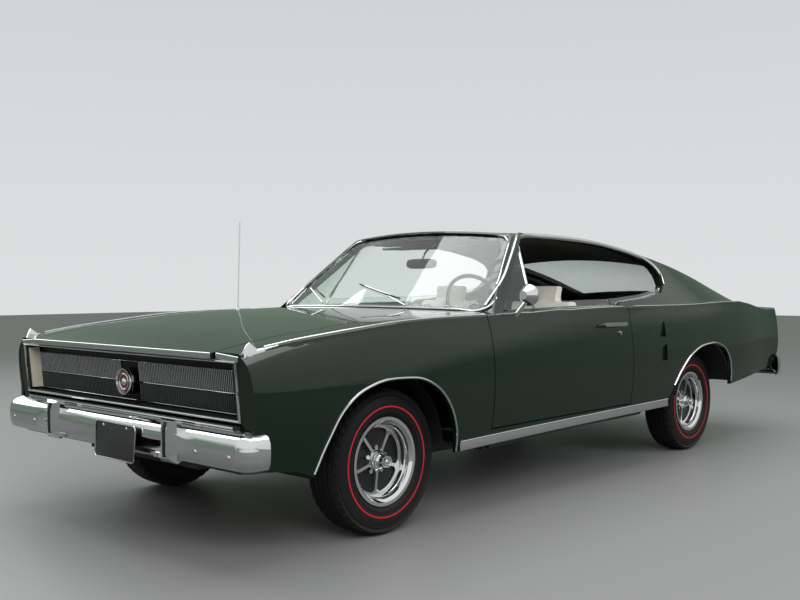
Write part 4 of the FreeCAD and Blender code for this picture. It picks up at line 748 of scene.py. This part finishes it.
# Road tyres: ribbed and zigzag-grooved tread, notched shoulders and a raised red ring on the outer wall
def makeTyres():
    tyre = {"steps": 90, "zigzag": 0.0022, "notch": 0.0035, "notchRim": 0.0042,
            "stripe": 0.2415, "stripeHalf": 0.0036}
    centre = (halfTrack["front"], aft(0.0), hubHeight)
    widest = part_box("tyre_front_left")[1][0] - halfTrack["front"]
    half = [(0.0, 0.3216), (0.0105, 0.3215), (0.0115, 0.3140), (0.0165, 0.3140), (0.0175, 0.3212),
            (0.0400, 0.3202), (0.0410, 0.3128), (0.0465, 0.3126), (0.0475, 0.3197), (0.0600, 0.3188),
            (0.0720, 0.3168), (0.0790, 0.3128), (0.0850, 0.3060), (widest - 0.0130, 0.2920),
            (widest - 0.0075, 0.2860), (widest - 0.0085, 0.2840), (widest - 0.0030, 0.2680),
            (widest - 0.0008, 0.2500), (widest - 0.0012, 0.2330), (widest - 0.0050, 0.2180),
            (widest - 0.0042, 0.2160), (widest - 0.0100, 0.2060), (widest - 0.0180, 0.1975),
            (0.0790, 0.1940), (0.0770, 0.1800)]
    profile = [(-along, radius) for along, radius in reversed(half[1:])] + half
    piece = turnProfile(profile, centre, "X", tyre["steps"])

    # distance from the wheel's plane, from its axis, and the turn about it in steps
    def roundTyre(place):
        x, y, z = place
        turn = math.atan2(z - centre[2], y - centre[1]) / math.tau * tyre["steps"]
        return abs(x - centre[0]), math.hypot(y - centre[1], z - centre[2]), turn

    for corner in piece.data.vertices:
        across, radius, turn = roundTyre(corner.co)
        if radius > 0.312 and across < 0.05:
            corner.co.x += tyre["zigzag"] * (1 if round(turn) % 2 else -1)
    # every other face of the shoulder is let in as a notch
    bpy.context.view_layer.objects.active = piece
    setMode("EDIT")
    bpy.ops.mesh.select_all(action="DESELECT")
    bpy.ops.mesh.select_mode(type="FACE")
    setMode("OBJECT")
    for face in piece.data.polygons:
        across, radius, turn = roundTyre(face.center)
        if 0.060 < across < 0.086 and radius > 0.305 and math.floor(turn) % 2 == 0:
            face.select = True
    setMode("EDIT")
    bpy.ops.mesh.inset(thickness=tyre["notchRim"], depth=-tyre["notch"], use_individual=False)
    bpy.ops.mesh.select_mode(type="VERT")
    setMode("OBJECT")
    settle(piece, "roadTyre_front_left", "rubber", "front_left_wheel", 38)
    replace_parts(piece, "tyre_front_left")

    wall = widest - 0.0006
    inner, outer = tyre["stripe"] - tyre["stripeHalf"], tyre["stripe"] + tyre["stripeHalf"]
    stripe = [(wall - 0.003, inner), (wall + 0.0006, inner), (wall + 0.0012, tyre["stripe"]),
              (wall + 0.0006, outer), (wall - 0.003, outer), (wall - 0.003, inner)]
    ring = makeTurned("redRing_front_left", stripe, centre, "stripe", "front_left_wheel", axis="X", steps=96)
    for place, across, behind in (("front_right", -halfTrack["front"], 0.0),
                                  ("rear_left", halfTrack["rear"], wheelbase),
                                  ("rear_right", -halfTrack["rear"], wheelbase)):
        flip = mirrorX if across < 0 else Matrix.Identity(4)
        hub = Matrix.Translation((across, aft(behind), hubHeight))
        move = hub @ flip @ Matrix.Translation(-Vector(centre))
        copy = twin(piece, "roadTyre_" + place, place + "_wheel", move)
        copy["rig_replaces"] = []
        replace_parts(copy, "tyre_" + place)
        twin(ring, "redRing_" + place, place + "_wheel", move)
        makeValve(place, across, behind)
    makeValve("front_left", halfTrack["front"], 0.0)


# Valve stem: a rubber foot and a black stem, leaning out of the rim
def makeValve(place, across, behind):
    side = math.copysign(1, across)
    start = Vector((across + side * 0.030, aft(behind) - 0.1055, hubHeight + 0.1255))
    out = Vector((side * 0.028, 0.006, -0.007))
    foot = makeRod("foot", [start, start + out * 0.55], 0.0046, "seal", place + "_wheel", steps=3)
    stem = makeRod("stem", [start + out * 0.5, start + out], 0.0030, "black", place + "_wheel", steps=3)
    joinPieces([foot, stem], "valve_" + place)


makeTyres()
print("tyres fitted")


# Height of the line between the grille's two rows of fins
def grilleMiddle():
    low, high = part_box("grille")
    return (low[2] + high[2] - 0.034) / 2


# Rolled lip round the grille surround, and fine fins over the bars with bright beads round them
def makeGrilleDetail():
    grille = {"lip": 0.0055, "lipIn": 0.006, "pitch": 0.012, "finHalf": 0.0017, "finDeep": 0.012,
              "clear": 0.068, "endClear": 0.012, "bead": 0.0024, "midBead": 0.0022, "beadReach": 0.8}
    low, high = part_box("grille_surround")
    edgeX, edgeTop, edgeLow = high[0] - grille["lipIn"], high[2] - grille["lipIn"], low[2] + grille["lipIn"]
    edgeMiddle = (edgeTop + edgeLow) / 2
    ring = []
    for across, up in ((-edgeX, edgeLow), (0.0, edgeLow), (edgeX, edgeLow), (edgeX, edgeMiddle),
                       (edgeX, edgeTop), (0.0, edgeTop), (-edgeX, edgeTop), (-edgeX, edgeMiddle)):
        hit = onFront("grille_surround", across, up)
        ring.append((across, hit.y - 0.001 if hit else low[1], up))
    makeRod("surroundLip", ring, grille["lip"], "chrome", closed=True, sharp=True)

    low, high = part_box("grille")
    middle = grilleMiddle()
    first = grille["clear"] + grille["pitch"] / 2
    seatLow = onFront("grille", first + grille["pitch"], low[2] + 0.004)
    seatHigh = onFront("grille", first + grille["pitch"], high[2] - 0.010)
    lean = (seatHigh.y - seatLow.y) / (seatHigh.z - seatLow.z)
    half, deep = grille["finHalf"], grille["finDeep"]
    for row, finish, bottom, top in (("lower", "finLower", low[2] + 0.010, middle - 0.004),
                                     ("upper", "finUpper", middle + 0.004, high[2] - 0.036)):
        face = seatLow.y + lean * (bottom - seatLow.z)
        outline = ((-half, -0.45), (0, -0.6), (half, -0.45), (half, 0.6), (-half, 0.6))
        fin = drawLine([(first + out, face + deep * share, bottom) for out, share in outline])
        fillAndPush((0, lean * (top - bottom), top - bottom))
        closeMesh()
        modify(fin, "ARRAY", use_relative_offset=False, use_constant_offset=True,
               constant_offset_displace=(grille["pitch"], 0, 0),
               count=int((high[0] - grille["endClear"] - first) / grille["pitch"]) + 1)
        settle(fin, "fins_" + row + "_left", finish, angle=30)
        twin(fin, "fins_" + row + "_right")

    # bright bead round the grille's field, and one along its middle
    reach, bottom, top = grille["beadReach"], low[2] + 0.008, high[2] - 0.034
    field = []
    for across, up in ((-reach, bottom), (reach, bottom), (reach, top), (-reach, top)):
        field.append((across, onFront("grille", math.copysign(0.07, across), up).y - 0.004, up))
    makeRod("grilleBead", field, grille["bead"], "steel", closed=True, sharp=True)
    along = onFront("grille", 0.075, middle).y - 0.003
    makeRod("grilleMidBead", [(-reach, along, middle), (reach, along, middle)], grille["midBead"], "steel",
            sharp=True)


# Round emblem on the grille's boss: a chrome ring, a bare enamel disc, a raised dome and a bead round it
def makeEmblem():
    emblem = {"ring": [(0.010, 0.060), (-0.004, 0.060), (-0.009, 0.057), (-0.009, 0.052), (-0.003, 0.0495),
                       (0.001, 0.0495), (0.001, 0.010), (0.010, 0.010), (0.010, 0.060)],
              "disc": [(-0.001, 0.0002), (-0.003, 0.016), (-0.0025, 0.044), (-0.0005, 0.0492),
                       (0.004, 0.0492), (0.004, 0.0002)],
              "dome": [(-0.012, 0.0002), (-0.0115, 0.006), (-0.009, 0.012), (-0.005, 0.0158),
                       (0.001, 0.017), (0.001, 0.0002)],
              "bead": [(-0.006, 0.0335), (-0.0045, 0.036), (0.001, 0.036), (0.001, 0.031),
                       (-0.0045, 0.031), (-0.006, 0.0335)]}
    middle = grilleMiddle()
    centre = (0, onFront("grille", 0.0, middle).y, middle)
    ring = makeTurned("emblemRing", emblem["ring"], centre, "chrome", steps=64)
    makeTurned("emblemDisc", emblem["disc"], centre, "emblem", steps=64)
    dome = makeTurned("emblemDome", emblem["dome"], centre, "chrome", steps=40)
    bead = makeTurned("emblemBead", emblem["bead"], centre, "chrome", steps=48)
    joinPieces([ring, dome, bead], "emblemRing")


# Row of bolt heads that face forward (-1) or rearward (1)
def makeBolts(name, spots, toward):
    head = [(0.0045, 0.0002), (0.0042, 0.004), (0.0030, 0.0070), (0.0012, 0.0092), (-0.0015, 0.0094),
            (-0.0015, 0.0002)]
    profile = [(toward * step, radius) for step, radius in head]
    joinPieces([makeTurned("bolt", profile, spot, "steel", steps=24) for spot in spots if spot], name)


# Rubber strips on the bumper guards, and bolt heads beside them
def makeBumperDetail():
    bumper = {"guard": 0.460, "stripHalf": 0.0085, "stripThick": 0.006, "bolts": (0.640, 0.845),
              "boltHigh": 0.452}
    for side, word in ((1, "left"), (-1, "right")):
        line = [onFront("front_bumper", side * bumper["guard"], up) for up in spread(0.412, 0.552, 8)]
        makeStrip("guardStrip_" + word, shifted(line, 0, -0.001, 0), bumper["stripHalf"],
                  bumper["stripThick"], "seal")
        bolts = [onFront("front_bumper", side * across, bumper["boltHigh"]) for across in bumper["bolts"]]
        makeBolts("bumperBolts_" + word, bolts, -1)


# Flat strip with round edges that lies along a line, its width running across the car
def makeStrip(name, line, half, thick, finish):
    piece = drawLine(shifted(line, -half, 0, 0))
    selectMesh()
    extrude((2 * half, 0, 0))
    closeMesh()
    modify(piece, "SOLIDIFY", thickness=thick, offset=0.0)
    modify(piece, "BEVEL", width=thick * 0.35, segments=3, limit_method="ANGLE")
    settle(piece, name, finish)


# Number plate with a bare face, a rim and two screws; it faces forward (-1) or rearward (1)
def makePlateHolder(name, middle, lean, toward, size):
    holder = {"corner": 0.018, "thick": 0.0025, "rim": 0.0028, "screwOut": 0.29, "screwUp": 0.40}
    corner = holder["corner"]
    width, height = size
    x, y, z = middle
    outline = []
    for signX, signZ, start in ((1, 1, 0), (-1, 1, 90), (-1, -1, 180), (1, -1, 270)):
        for angle in spread(start, start + 90, 5):
            turn = math.radians(angle)
            out = signX * (width / 2 - corner) + corner * math.cos(turn)
            up = signZ * (height / 2 - corner) + corner * math.sin(turn)
            outline.append(Vector((x + out, y + up * lean, z + up)))
    makePlate(name, outline, (0, -toward * holder["thick"], 0), "plate", soft=0.0006)
    pieces = [makeRod(name + "Rim", shifted(outline, 0, toward * 0.001, 0), holder["rim"], "chrome",
                      closed=True, steps=1, sharp=True)]
    head = [(toward * 0.004, 0.0002), (toward * 0.0035, 0.004), (toward * 0.001, 0.0065),
            (-toward * 0.002, 0.0065), (-toward * 0.002, 0.0002)]
    up = height * holder["screwUp"]
    for side in (-1, 1):
        spot = (x + side * width * holder["screwOut"], y + toward * 0.001 + up * lean, z + up)
        pieces.append(makeTurned("screw", head, spot, "steel", steps=20))
    joinPieces(pieces, name + "Rim")


makeGrilleDetail()
makeEmblem()
makeBumperDetail()
bumperY = onFront("front_bumper", 0.0, 0.455).y
makePlateHolder("frontPlate", (0.10, bumperY - 0.018, 0.436), 0.05, -1, (0.306, 0.152))
makePlate("frontPlateBracket", uprightBox(0.10, bumperY - 0.016, 0.445, 0.10, 0.035, 0.003), (0, 0.015, 0),
          "black", soft=0.002)
print("nose dressed")


# Padded seats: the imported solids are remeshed, blown up as cloth, and then sewn with channels
def makeSeats(name, node, middle, front, width, shoulder):
    seat = {"voxel": 0.0145, "shrink": 0.010, "cap": 0.016, "pressure": 4.0, "frames": 20,
            "heldBelow": 0.405, "pitch": 0.046, "groove": 0.0050, "grooveHalf": 0.007, "swell": 0.004,
            "cushionTop": 0.60}
    deselectAll()
    piece = nodes[node].copy()
    piece.data = nodes[node].data.copy()
    piece.modifiers.clear()
    bpy.context.scene.collection.objects.link(piece)
    piece.hide_render = piece.hide_viewport = False
    pick(piece)
    setMode("EDIT")
    selectMesh()
    bpy.ops.mesh.remove_doubles(threshold=0.00005)
    closeMesh()
    piece.data.remesh_voxel_size = seat["voxel"]
    bpy.ops.object.voxel_remesh()
    normals = [corner.normal.copy() for corner in piece.data.vertices]
    for corner, normal in zip(piece.data.vertices, normals):
        corner.co = corner.co - normal * seat["shrink"]
    shrunk = [corner.co.copy() for corner in piece.data.vertices]
    held = piece.vertex_groups.new(name="held")
    low = [corner.index for corner in piece.data.vertices if corner.co.z < seat["heldBelow"]]
    held.add(low, 1.0, "REPLACE")
    cloth = piece.modifiers.new("pad", "CLOTH")
    cloth.settings.use_pressure = True
    cloth.settings.uniform_pressure_force = seat["pressure"]
    cloth.settings.vertex_group_mass = "held"
    cloth.settings.effector_weights.gravity = 0.0
    cloth.settings.quality = 5
    cloth.point_cache.frame_start = 1
    cloth.point_cache.frame_end = seat["frames"]
    for step in range(1, seat["frames"] + 1):
        bpy.context.scene.frame_set(step)
    pick(piece)
    bpy.ops.object.modifier_apply(modifier="pad")
    for corner, before in zip(piece.data.vertices, shrunk):
        move = corner.co - before
        if move.length > seat["cap"]:
            corner.co = before + move * (seat["cap"] / move.length)
    bpy.context.scene.frame_set(1)
    modify(piece, "SMOOTH", factor=0.5, iterations=2)
    modify(piece, "SUBSURF", levels=1, render_levels=1)

    # sewn channels on the cushion and on the backrest, and a welt along each side of them
    piece.data.update()
    half = width / 2 - 0.075
    outward = [corner.normal.copy() for corner in piece.data.vertices]
    for corner, normal in zip(piece.data.vertices, outward):
        x, y, z = corner.co
        across = min(abs(x - middle), abs(x + middle))
        behind = y - frontAxle - front
        facing = normal.z > 0.35 or (normal.y < -0.35 and z > 0.58)
        if not facing or behind < -0.005 or shoulder - 0.055 < z < shoulder + 0.2:
            continue
        sewn = z > seat["cushionTop"] or (z < seat["cushionTop"] and 0.02 < behind < 0.47)
        depth = 0.0
        if sewn and across < half:
            lane = (across / seat["pitch"]) % 1.0
            off = min(lane, 1 - lane) * seat["pitch"]
            depth = seat["groove"] * math.exp(-(off / (seat["grooveHalf"] * 0.5)) ** 2)
            depth -= seat["swell"] * math.sin(math.pi * lane) ** 2
        edge = abs(across - half)
        if sewn and edge < 0.012:
            depth = max(depth, seat["groove"] * 1.3 * math.exp(-(edge / 0.004) ** 2))
        corner.co = corner.co - normal * depth
    settle(piece, name, "vinyl", "car_body", 60)
    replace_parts(piece, node)
    print(name, "padded", len(piece.data.polygons))


makeSeats("frontSeats", "front_seats", 0.370, 1.240, 0.480, 1.010)
makeSeats("rearSeats", "rear_seats", 0.340, 1.955, 0.410, 0.940)


# Linings: the headliner, and carpet before and behind the front seats
def makeLinings():
    makeLining("headliner", "roof", (-0.585, aft(1.33), 0.9), (0.585, aft(2.80), 0.9), (26, 30), (0, 0, 1),
               0.004, 0.003, "lining")
    makeLining("carpetFront", "floor_pan", (-0.80, aft(0.62), 0.70), (0.80, aft(1.30), 0.70), (60, 24),
               (0, 0, -1), 0.006, 0.004, "carpet")
    makeLining("carpetRear", "floor_pan", (-0.54, aft(1.86), 0.60), (0.54, aft(2.54), 0.60), (44, 24),
               (0, 0, -1), 0.006, 0.004, "carpet")


# Door cards: a pleated vinyl board, an armrest, a window crank, a latch lever and two bright strips
def makeDoorCards():
    card = {"front": 0.80, "rear": 1.90, "low": 0.46, "high": 0.925, "proud": 0.004, "thick": 0.006,
            "pleat": 0.04, "pleatDeep": 0.0035, "armrest": 0.058, "strip": 0.0028, "stripRise": 0.275}
    inner = cast("door_left", (0.3, aft(1.35), 0.70), (1, 0, 0)).x - 0.006

    def onCard(inward, behind, high):
        return Vector((inner - inward, aft(behind), high))

    board = makeLining("doorCard_left", "door_left", (0.3, aft(card["front"]), card["low"]),
                       (0.3, aft(card["rear"]), card["high"]), (56, 12), (1, 0, 0), card["proud"],
                       card["thick"], "vinyl", "left_door")
    for corner in board.data.vertices:
        if 0.56 < corner.co.z < 0.80:
            lane = ((corner.co.y - aft(card["front"])) / card["pleat"]) % 1.0
            corner.co.x -= card["pleatDeep"] * math.sin(math.pi * lane)
    outline = [onCard(0, behind, high) for behind, high in
               ((1.28, 0.640), (1.60, 0.648), (1.62, 0.672), (1.60, 0.694), (1.30, 0.686), (1.26, 0.664))]
    rest = makePlate("armrest_left", outline, (-card["armrest"], 0, 0), "vinyl", "left_door", 0.014, 4)
    hub = [(0.0005, 0.0002), (0.0005, 0.016), (-0.010, 0.015), (-0.014, 0.010), (-0.015, 0.0002)]
    arm = [onCard(0.012, 1.16, 0.60), onCard(0.018, 1.13, 0.638), onCard(0.022, 1.10, 0.676)]
    knob = [(-0.020, 0.0002), (-0.020, 0.008), (-0.034, 0.012), (-0.046, 0.011), (-0.048, 0.0002)]
    lever = [onCard(0.002, 1.70, 0.80), onCard(0.018, 1.68, 0.802), onCard(0.020, 1.60, 0.800)]
    fittings = joinPieces([
        makeTurned("crankHub", hub, onCard(0, 1.16, 0.60), "chrome", "left_door", "X", 28),
        makeRod("crankArm", arm, 0.0055, "chrome", "left_door"),
        makeTurned("crankKnob", knob, onCard(0, 1.10, 0.676), "chrome", "left_door", "X", 24),
        makeRod("latchLever", lever, 0.0065, "chrome", "left_door")], "doorFittings_left")
    line = [onCard(0.001, behind, 0.545) for behind in (0.81, 1.35, 1.89)]
    trims = joinPieces([makeRod("cardStrip", shifted(line, 0, 0, rise), card["strip"], "steel", "left_door")
                        for rise in (0.0, card["stripRise"])], "cardStrips_left")
    for piece, name in ((board, "doorCard_right"), (rest, "armrest_right"), (fittings, "doorFittings_right"),
                        (trims, "cardStrips_right")):
        twin(piece, name, "right_door")


# Vinyl boards beside the rear seat, up to the windows
def makeQuarterCards():
    board = makeLining("quarterCard_left", "quarter_left", (0.3, aft(1.98), 0.73), (0.3, aft(2.72), 0.985),
                       (30, 10), (1, 0, 0), 0.012, 0.006, "vinyl")
    twin(board, "quarterCard_right")


# Interior mirror on a stalk
def makeCabinMirror():
    mirror = {"place": (0.0, aft(1.211), 1.216), "wide": 0.225, "high": 0.058, "thick": 0.020,
              "stalk": 0.006}
    x, y, z = mirror["place"]
    outline = []
    for index in range(24):
        turn = math.tau * index / 24
        out = math.copysign(abs(math.cos(turn)) ** 0.45, math.cos(turn)) * mirror["wide"] / 2
        up = math.copysign(abs(math.sin(turn)) ** 0.6, math.sin(turn)) * mirror["high"] / 2
        outline.append((x + out, y, z + up))
    makePlate("cabinMirror", outline, (0, -mirror["thick"], 0), "dash", soft=0.006, segments=3)
    pane = [(across * 0.93, y + 0.001, z + (high - z) * 0.86) for across, _, high in outline]
    makePlate("cabinMirrorGlass", pane, (0, 0.0015, 0), "mirror", soft=0.0004)
    top = cast("roof", (0.0, aft(1.36), 1.1), (0, 0, 1)) or Vector((0, aft(1.36), 1.36))
    makeRod("mirrorStalk", [(0, y - 0.012, z + 0.01), (0, y + 0.03, z + 0.07), (0, top.y, top.z - 0.006)],
            mirror["stalk"], "chrome")


# Sun visors, folded up under the roof
def makeSunVisors():
    visor = {"corners": ((0.10, 1.385), (0.50, 1.395), (0.49, 1.53), (0.11, 1.53)),
             "gap": 0.012, "thick": 0.014}
    for side, word in ((1, "left"), (-1, "right")):
        under = [cast("roof", (side * across, aft(behind), 1.0), (0, 0, 1))
                 for across, behind in visor["corners"]]
        level = min(spot.z for spot in under) - visor["gap"]
        makePlate("sunVisor_" + word, [(spot.x, spot.y, level) for spot in under], (0, 0, -visor["thick"]),
                  "lining", soft=0.006, segments=3)


# Row of round dials in the dash, each a rim, a face and a needle, over a bright strip
def makeDials():
    dash = {"dials": ((0.300, 0.052), (0.440, 0.052), (0.205, 0.030), (0.535, 0.030)), "high": 0.935,
            "stripHigh": 0.868, "strip": 0.004, "needle": 0.0012}
    parts = []
    for across, radius in dash["dials"]:
        place = cast("dashboard", (across, aft(1.6), dash["high"]), (0, -1, 0))
        rim = [(-0.004, radius), (0.012, radius), (0.014, radius - 0.004), (0.010, radius - 0.007),
               (-0.004, radius - 0.007), (-0.004, radius)]
        face = [(-0.003, 0.0002), (-0.003, radius - 0.006), (0.002, radius - 0.006), (0.003, radius * 0.3),
                (0.004, 0.0002), (-0.003, 0.0002)]
        needle = shifted([place, place + Vector((-radius * 0.55, 0, radius * 0.45))], 0, 0.006, 0)
        parts.append(makeTurned("dialRim", rim, place, "chrome", steps=40))
        makeTurned("dialFace_" + str(round(across * 1000)), face, place, "dial", steps=40)
        parts.append(makeRod("needle", needle, dash["needle"], "paleLens", steps=2))
    joinPieces(parts, "dialRims")
    line = [cast("dashboard", (across, aft(1.6), dash["stripHigh"]), (0, -1, 0))
            for across in spread(-0.66, 0.66, 12)]
    makeRod("dashStrip", shifted(line, 0, 0.002, 0), dash["strip"], "steel")


makeLinings()
makeDoorCards()
makeQuarterCards()
makeCabinMirror()
makeSunVisors()
makeDials()
print("cabin dressed")


# Dressing of the plain engine block: a round air cleaner with its nut, and two valve covers
def makeEngineDress():
    engine = {"tall": 0.062, "hoodGap": 0.026, "coverOut": 0.225, "coverThick": 0.024}
    low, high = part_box("engine")
    across, along = (low[0] + high[0]) / 2, (low[1] + high[1]) / 2
    top = cast("engine", (across, along, 2.0), (0, 0, -1))
    under = cast("hood", (across, along, top.z + 0.01), (0, 0, 1)).z
    tall = min(engine["tall"], under - top.z - engine["hoodGap"])
    cleaner = [(0.0, 0.0002), (0.0, 0.075), (0.010, 0.165), (0.014, 0.178), (tall - 0.010, 0.178),
               (tall - 0.004, 0.184), (tall, 0.181), (tall + 0.002, 0.150), (tall - 0.003, 0.120),
               (tall, 0.030), (tall, 0.0002)]
    nut = [(tall - 0.002, 0.0002), (tall - 0.002, 0.014), (tall + 0.006, 0.012), (tall + 0.010, 0.006),
           (tall + 0.011, 0.0002)]
    place = (across, along, top.z - 0.004)
    makeTurned("airCleaner", cleaner, place, "black", axis="Z", steps=72)
    makeTurned("airCleanerNut", nut, place, "steel", axis="Z", steps=24)
    for side, word in ((1, "left"), (-1, "right")):
        middle = across + side * engine["coverOut"]
        base = cast("engine", (middle, along, 2.0), (0, 0, -1)).z - 0.003
        cover = [(middle + out * 0.060, along + back * 0.24, base)
                 for out, back in ((-1, -1), (1, -1), (1, 1), (-1, 1))]
        makePlate("valveCover_" + word, cover, (0, 0, engine["coverThick"]), "engine", soft=0.010,
                  segments=4)


# Tail lamp: a bright bezel, bars across the lens and two backing lights
def makeTailDetail():
    lamp = {"bezel": 0.007, "rib": 0.0022, "bar": 0.003, "bars": (-0.4, -0.2, 0.0, 0.2, 0.4),
            "backing": 0.60}
    low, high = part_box("tail_lamps")
    face, middle = high[1], (low[2] + high[2]) / 2
    ring = uprightBox(0, face - 0.006, middle, high[0] - 0.004, (high[2] - low[2]) / 2 + 0.002)
    makeRod("tailBezel", ring, lamp["bezel"], "chrome", closed=True, sharp=True)
    face += 0.0005
    lines = [(lamp["rib"], [(low[0] + 0.012, face, up), (high[0] - 0.012, face, up)])
             for up in spread(low[2], high[2], 5)[1:-1]]
    lines += [(lamp["bar"], [(across, face, low[2] + 0.006), (across, face, high[2] - 0.006)])
              for across in lamp["bars"]]
    joinPieces([makeRod("lensBar", ends, radius, "steel", sharp=True, steps=2) for radius, ends in lines],
               "tailRibs")
    for side, word in ((1, "left"), (-1, "right")):
        outline = uprightBox(side * lamp["backing"], high[1] - 0.001, middle, 0.045, 0.022)
        makePlate("backingLight_" + word, outline, (0, 0.007, 0), "paleLens", soft=0.003, segments=3)


# Rear number plate on its bracket, and a row of bumper bolts
def makeRearDetail():
    low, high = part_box("rear_bumper")
    level = (low[2] + high[2]) / 2

    def onRear(across):
        return cast("rear_bumper", (across, 3.2, level), (0, -1, 0))

    seat = onRear(0.0).y
    makePlateHolder("rearPlate", (0.0, seat + 0.012, level), 0.02, 1, (0.306, 0.150))
    makePlate("rearPlateBracket", uprightBox(0.0, seat - 0.002, level, 0.10, 0.05), (0, 0.0125, 0), "black",
              soft=0.002)
    makeBolts("rearBumperBolts", [onRear(across) for across in (-0.78, -0.62, -0.32, 0.32, 0.62, 0.78)], 1)


# Glass and rim of the door mirror
def makeDoorMirror():
    mirror = {"glass": [(-0.001, 0.0002), (-0.001, 0.049), (0.0012, 0.048), (0.0018, 0.030),
                        (0.0020, 0.0002)],
              "rim": [(-0.004, 0.0555), (0.003, 0.0550), (0.0045, 0.0525), (0.003, 0.0495), (-0.002, 0.0490),
                      (-0.004, 0.0555)]}
    place = cast("door_hardware_left", (0.958, aft(1.3), 1.044), (0, -1, 0))
    makeTurned("mirrorGlass_left", mirror["glass"], place, "mirror", "left_door")
    makeTurned("mirrorRim_left", mirror["rim"], place, "chrome", "left_door")


# Wiper blades that lie on the windscreen, with their bridges
def makeWiperBlades():
    wiper = {"left": (0.06, 1.056, 0.19, -0.20), "right": (-0.52, 1.062, 0.16, -0.25),
             "blade": 0.0045, "bridge": 0.0028}
    for word in ("left", "right"):
        middle, high, half, slope = wiper[word]
        line = shifted([screenEdge(across, high + slope * (across - middle), (0, 0, 0.001), 60)
                        for across in spread(middle - half, middle + half, 7)], 0, -0.007, 0.004)
        makeRod("wiperBlade_" + word, line, wiper["blade"], "seal")
        makeRod("wiperBridge_" + word, shifted(line[1:-1], 0, -0.005, 0.005), wiper["bridge"], "steel")


makeEngineDress()
makeTailDetail()
makeRearDetail()
makeDoorMirror()
makeWiperBlades()
print("tail and small parts dressed")


# Colour ramp over a value, its stops given in rising order
def makeRamp(tree, source, *stops):
    node = addNode(tree, "ValToRGB", {"Fac": source})
    elements = node.color_ramp.elements
    for position, _ in stops[1:-1]:
        elements.new(position)
    for element, (position, colour) in zip(elements, stops):
        element.position, element.color = position, colour
    return node.outputs["Color"]


# Floor whose mirror image in chrome and paint is darker, like the low ring that the car is shown on
def makeFloor():
    floorValues = {"size": 60.0, "tone": rgb(122, 123, 122), "mirroredTone": rgb(78, 80, 77), "rough": 0.45}
    deselectAll()
    bpy.ops.mesh.primitive_plane_add(size=floorValues["size"], location=(0, 0, 0))
    floor = bpy.context.active_object
    floor.name = "studioFloor"
    material, shader = newMaterial("studioFloor", Roughness=floorValues["rough"])
    sight = addNode(material.node_tree, "LightPath", {}).outputs["Is Glossy Ray"]
    feed(material, shader, Base_Color=mixColours(material.node_tree, sight, floorValues["tone"],
                                                 floorValues["mirroredTone"]))
    floor.data.materials.append(material)


# Room: the camera and the reflections each see their own wall, and a cool even light falls on the car
def makeWorld():
    world = bpy.data.worlds.new("studioWorld")
    bpy.context.scene.world = world
    world.use_nodes = True
    tree = world.node_tree
    tree.nodes.clear()
    way = addNode(tree, "TexCoord", {}).outputs["Generated"]
    wall = makeRamp(tree, splitAxes(tree, way)["Z"], (0.0, rgb(222, 223, 224)), (0.55, rgb(196, 198, 200)))
    # paint and chrome see a wall that is darker behind and to the right, and paler above and to the left
    slant = addNode(tree, "VectorMath", {0: way, 1: (0.42, -0.35, 1.0)}, operation="DOT_PRODUCT")
    mirrored = makeRamp(tree, slant.outputs["Value"], (0.0, rgb(118, 134, 120)), (0.12, rgb(222, 225, 222)),
                        (0.60, rgb(238, 239, 238)))
    ray = addNode(tree, "LightPath", {}).outputs
    bounced = calculate(tree, "SUBTRACT", ray["Is Glossy Ray"], ray["Is Transmission Ray"], use_clamp=True)
    straight = calculate(tree, "MAXIMUM", ray["Is Camera Ray"], ray["Is Glossy Ray"])
    seen = calculate(tree, "MAXIMUM", straight, ray["Is Transmission Ray"])
    light = addNode(tree, "Background", {"Color": (0.95, 0.97, 1.0, 1), "Strength": 0.55})
    room = mixColours(tree, bounced, wall, mirrored)
    shown = addNode(tree, "Background", {"Color": room, "Strength": 1.0})
    both = addNode(tree, "MixShader", {"Fac": seen, 1: light.outputs["Background"],
                                       2: shown.outputs["Background"]})
    addNode(tree, "OutputWorld", {"Surface": both.outputs["Shader"]})


def addToScene(name, data, place):
    thing = bpy.data.objects.new(name, data)
    bpy.context.scene.collection.objects.link(thing)
    thing.location = place
    return thing


# Four large lamps; chrome and paint don't mirror the two that stand at the car's left
def makeLamps():
    lamps = [("keyLamp", (6.5, -6.0, 5.5), 5.0, 520, False), ("sideLamp", (7.5, 2.5, 4.0), 4.0, 220, False),
             ("overLamp", (0.0, 0.0, 6.5), 7.0, 420, True), ("farLamp", (-7.0, -2.0, 5.0), 5.0, 240, True)]
    for name, place, size, power, mirrored in lamps:
        lampData = bpy.data.lights.new(name, "AREA")
        lampData.size = size
        lampData.energy = power
        lamp = addToScene(name, lampData, place)
        lamp.visible_glossy = mirrored
        aim = Vector((0, 0, 0.5)) - Vector(place)
        lamp.rotation_euler = aim.to_track_quat("-Z", "Y").to_euler()


def makeCamera():
    view = {"place": (3.699, frontAxle - 3.062, 1.094), "turn": 42.71, "dip": 1.18,
            "focal": 962.3, "photoWide": 800, "shiftX": 0.0101, "shiftY": 0.0059}
    cameraData = bpy.data.cameras.new("camera")
    cameraData.sensor_width = 36.0
    cameraData.lens = view["focal"] * cameraData.sensor_width / view["photoWide"]
    cameraData.shift_x = view["shiftX"]
    cameraData.shift_y = view["shiftY"]
    cameraData.clip_end = 200
    camera = addToScene("camera", cameraData, view["place"])
    camera.rotation_euler = (math.radians(90 - view["dip"]), 0, math.radians(view["turn"]))
    bpy.context.scene.camera = camera


makeFloor()
makeWorld()
makeLamps()
makeCamera()
bpy.context.scene.view_settings.view_transform = "Standard"
print("studio lit and camera placed")
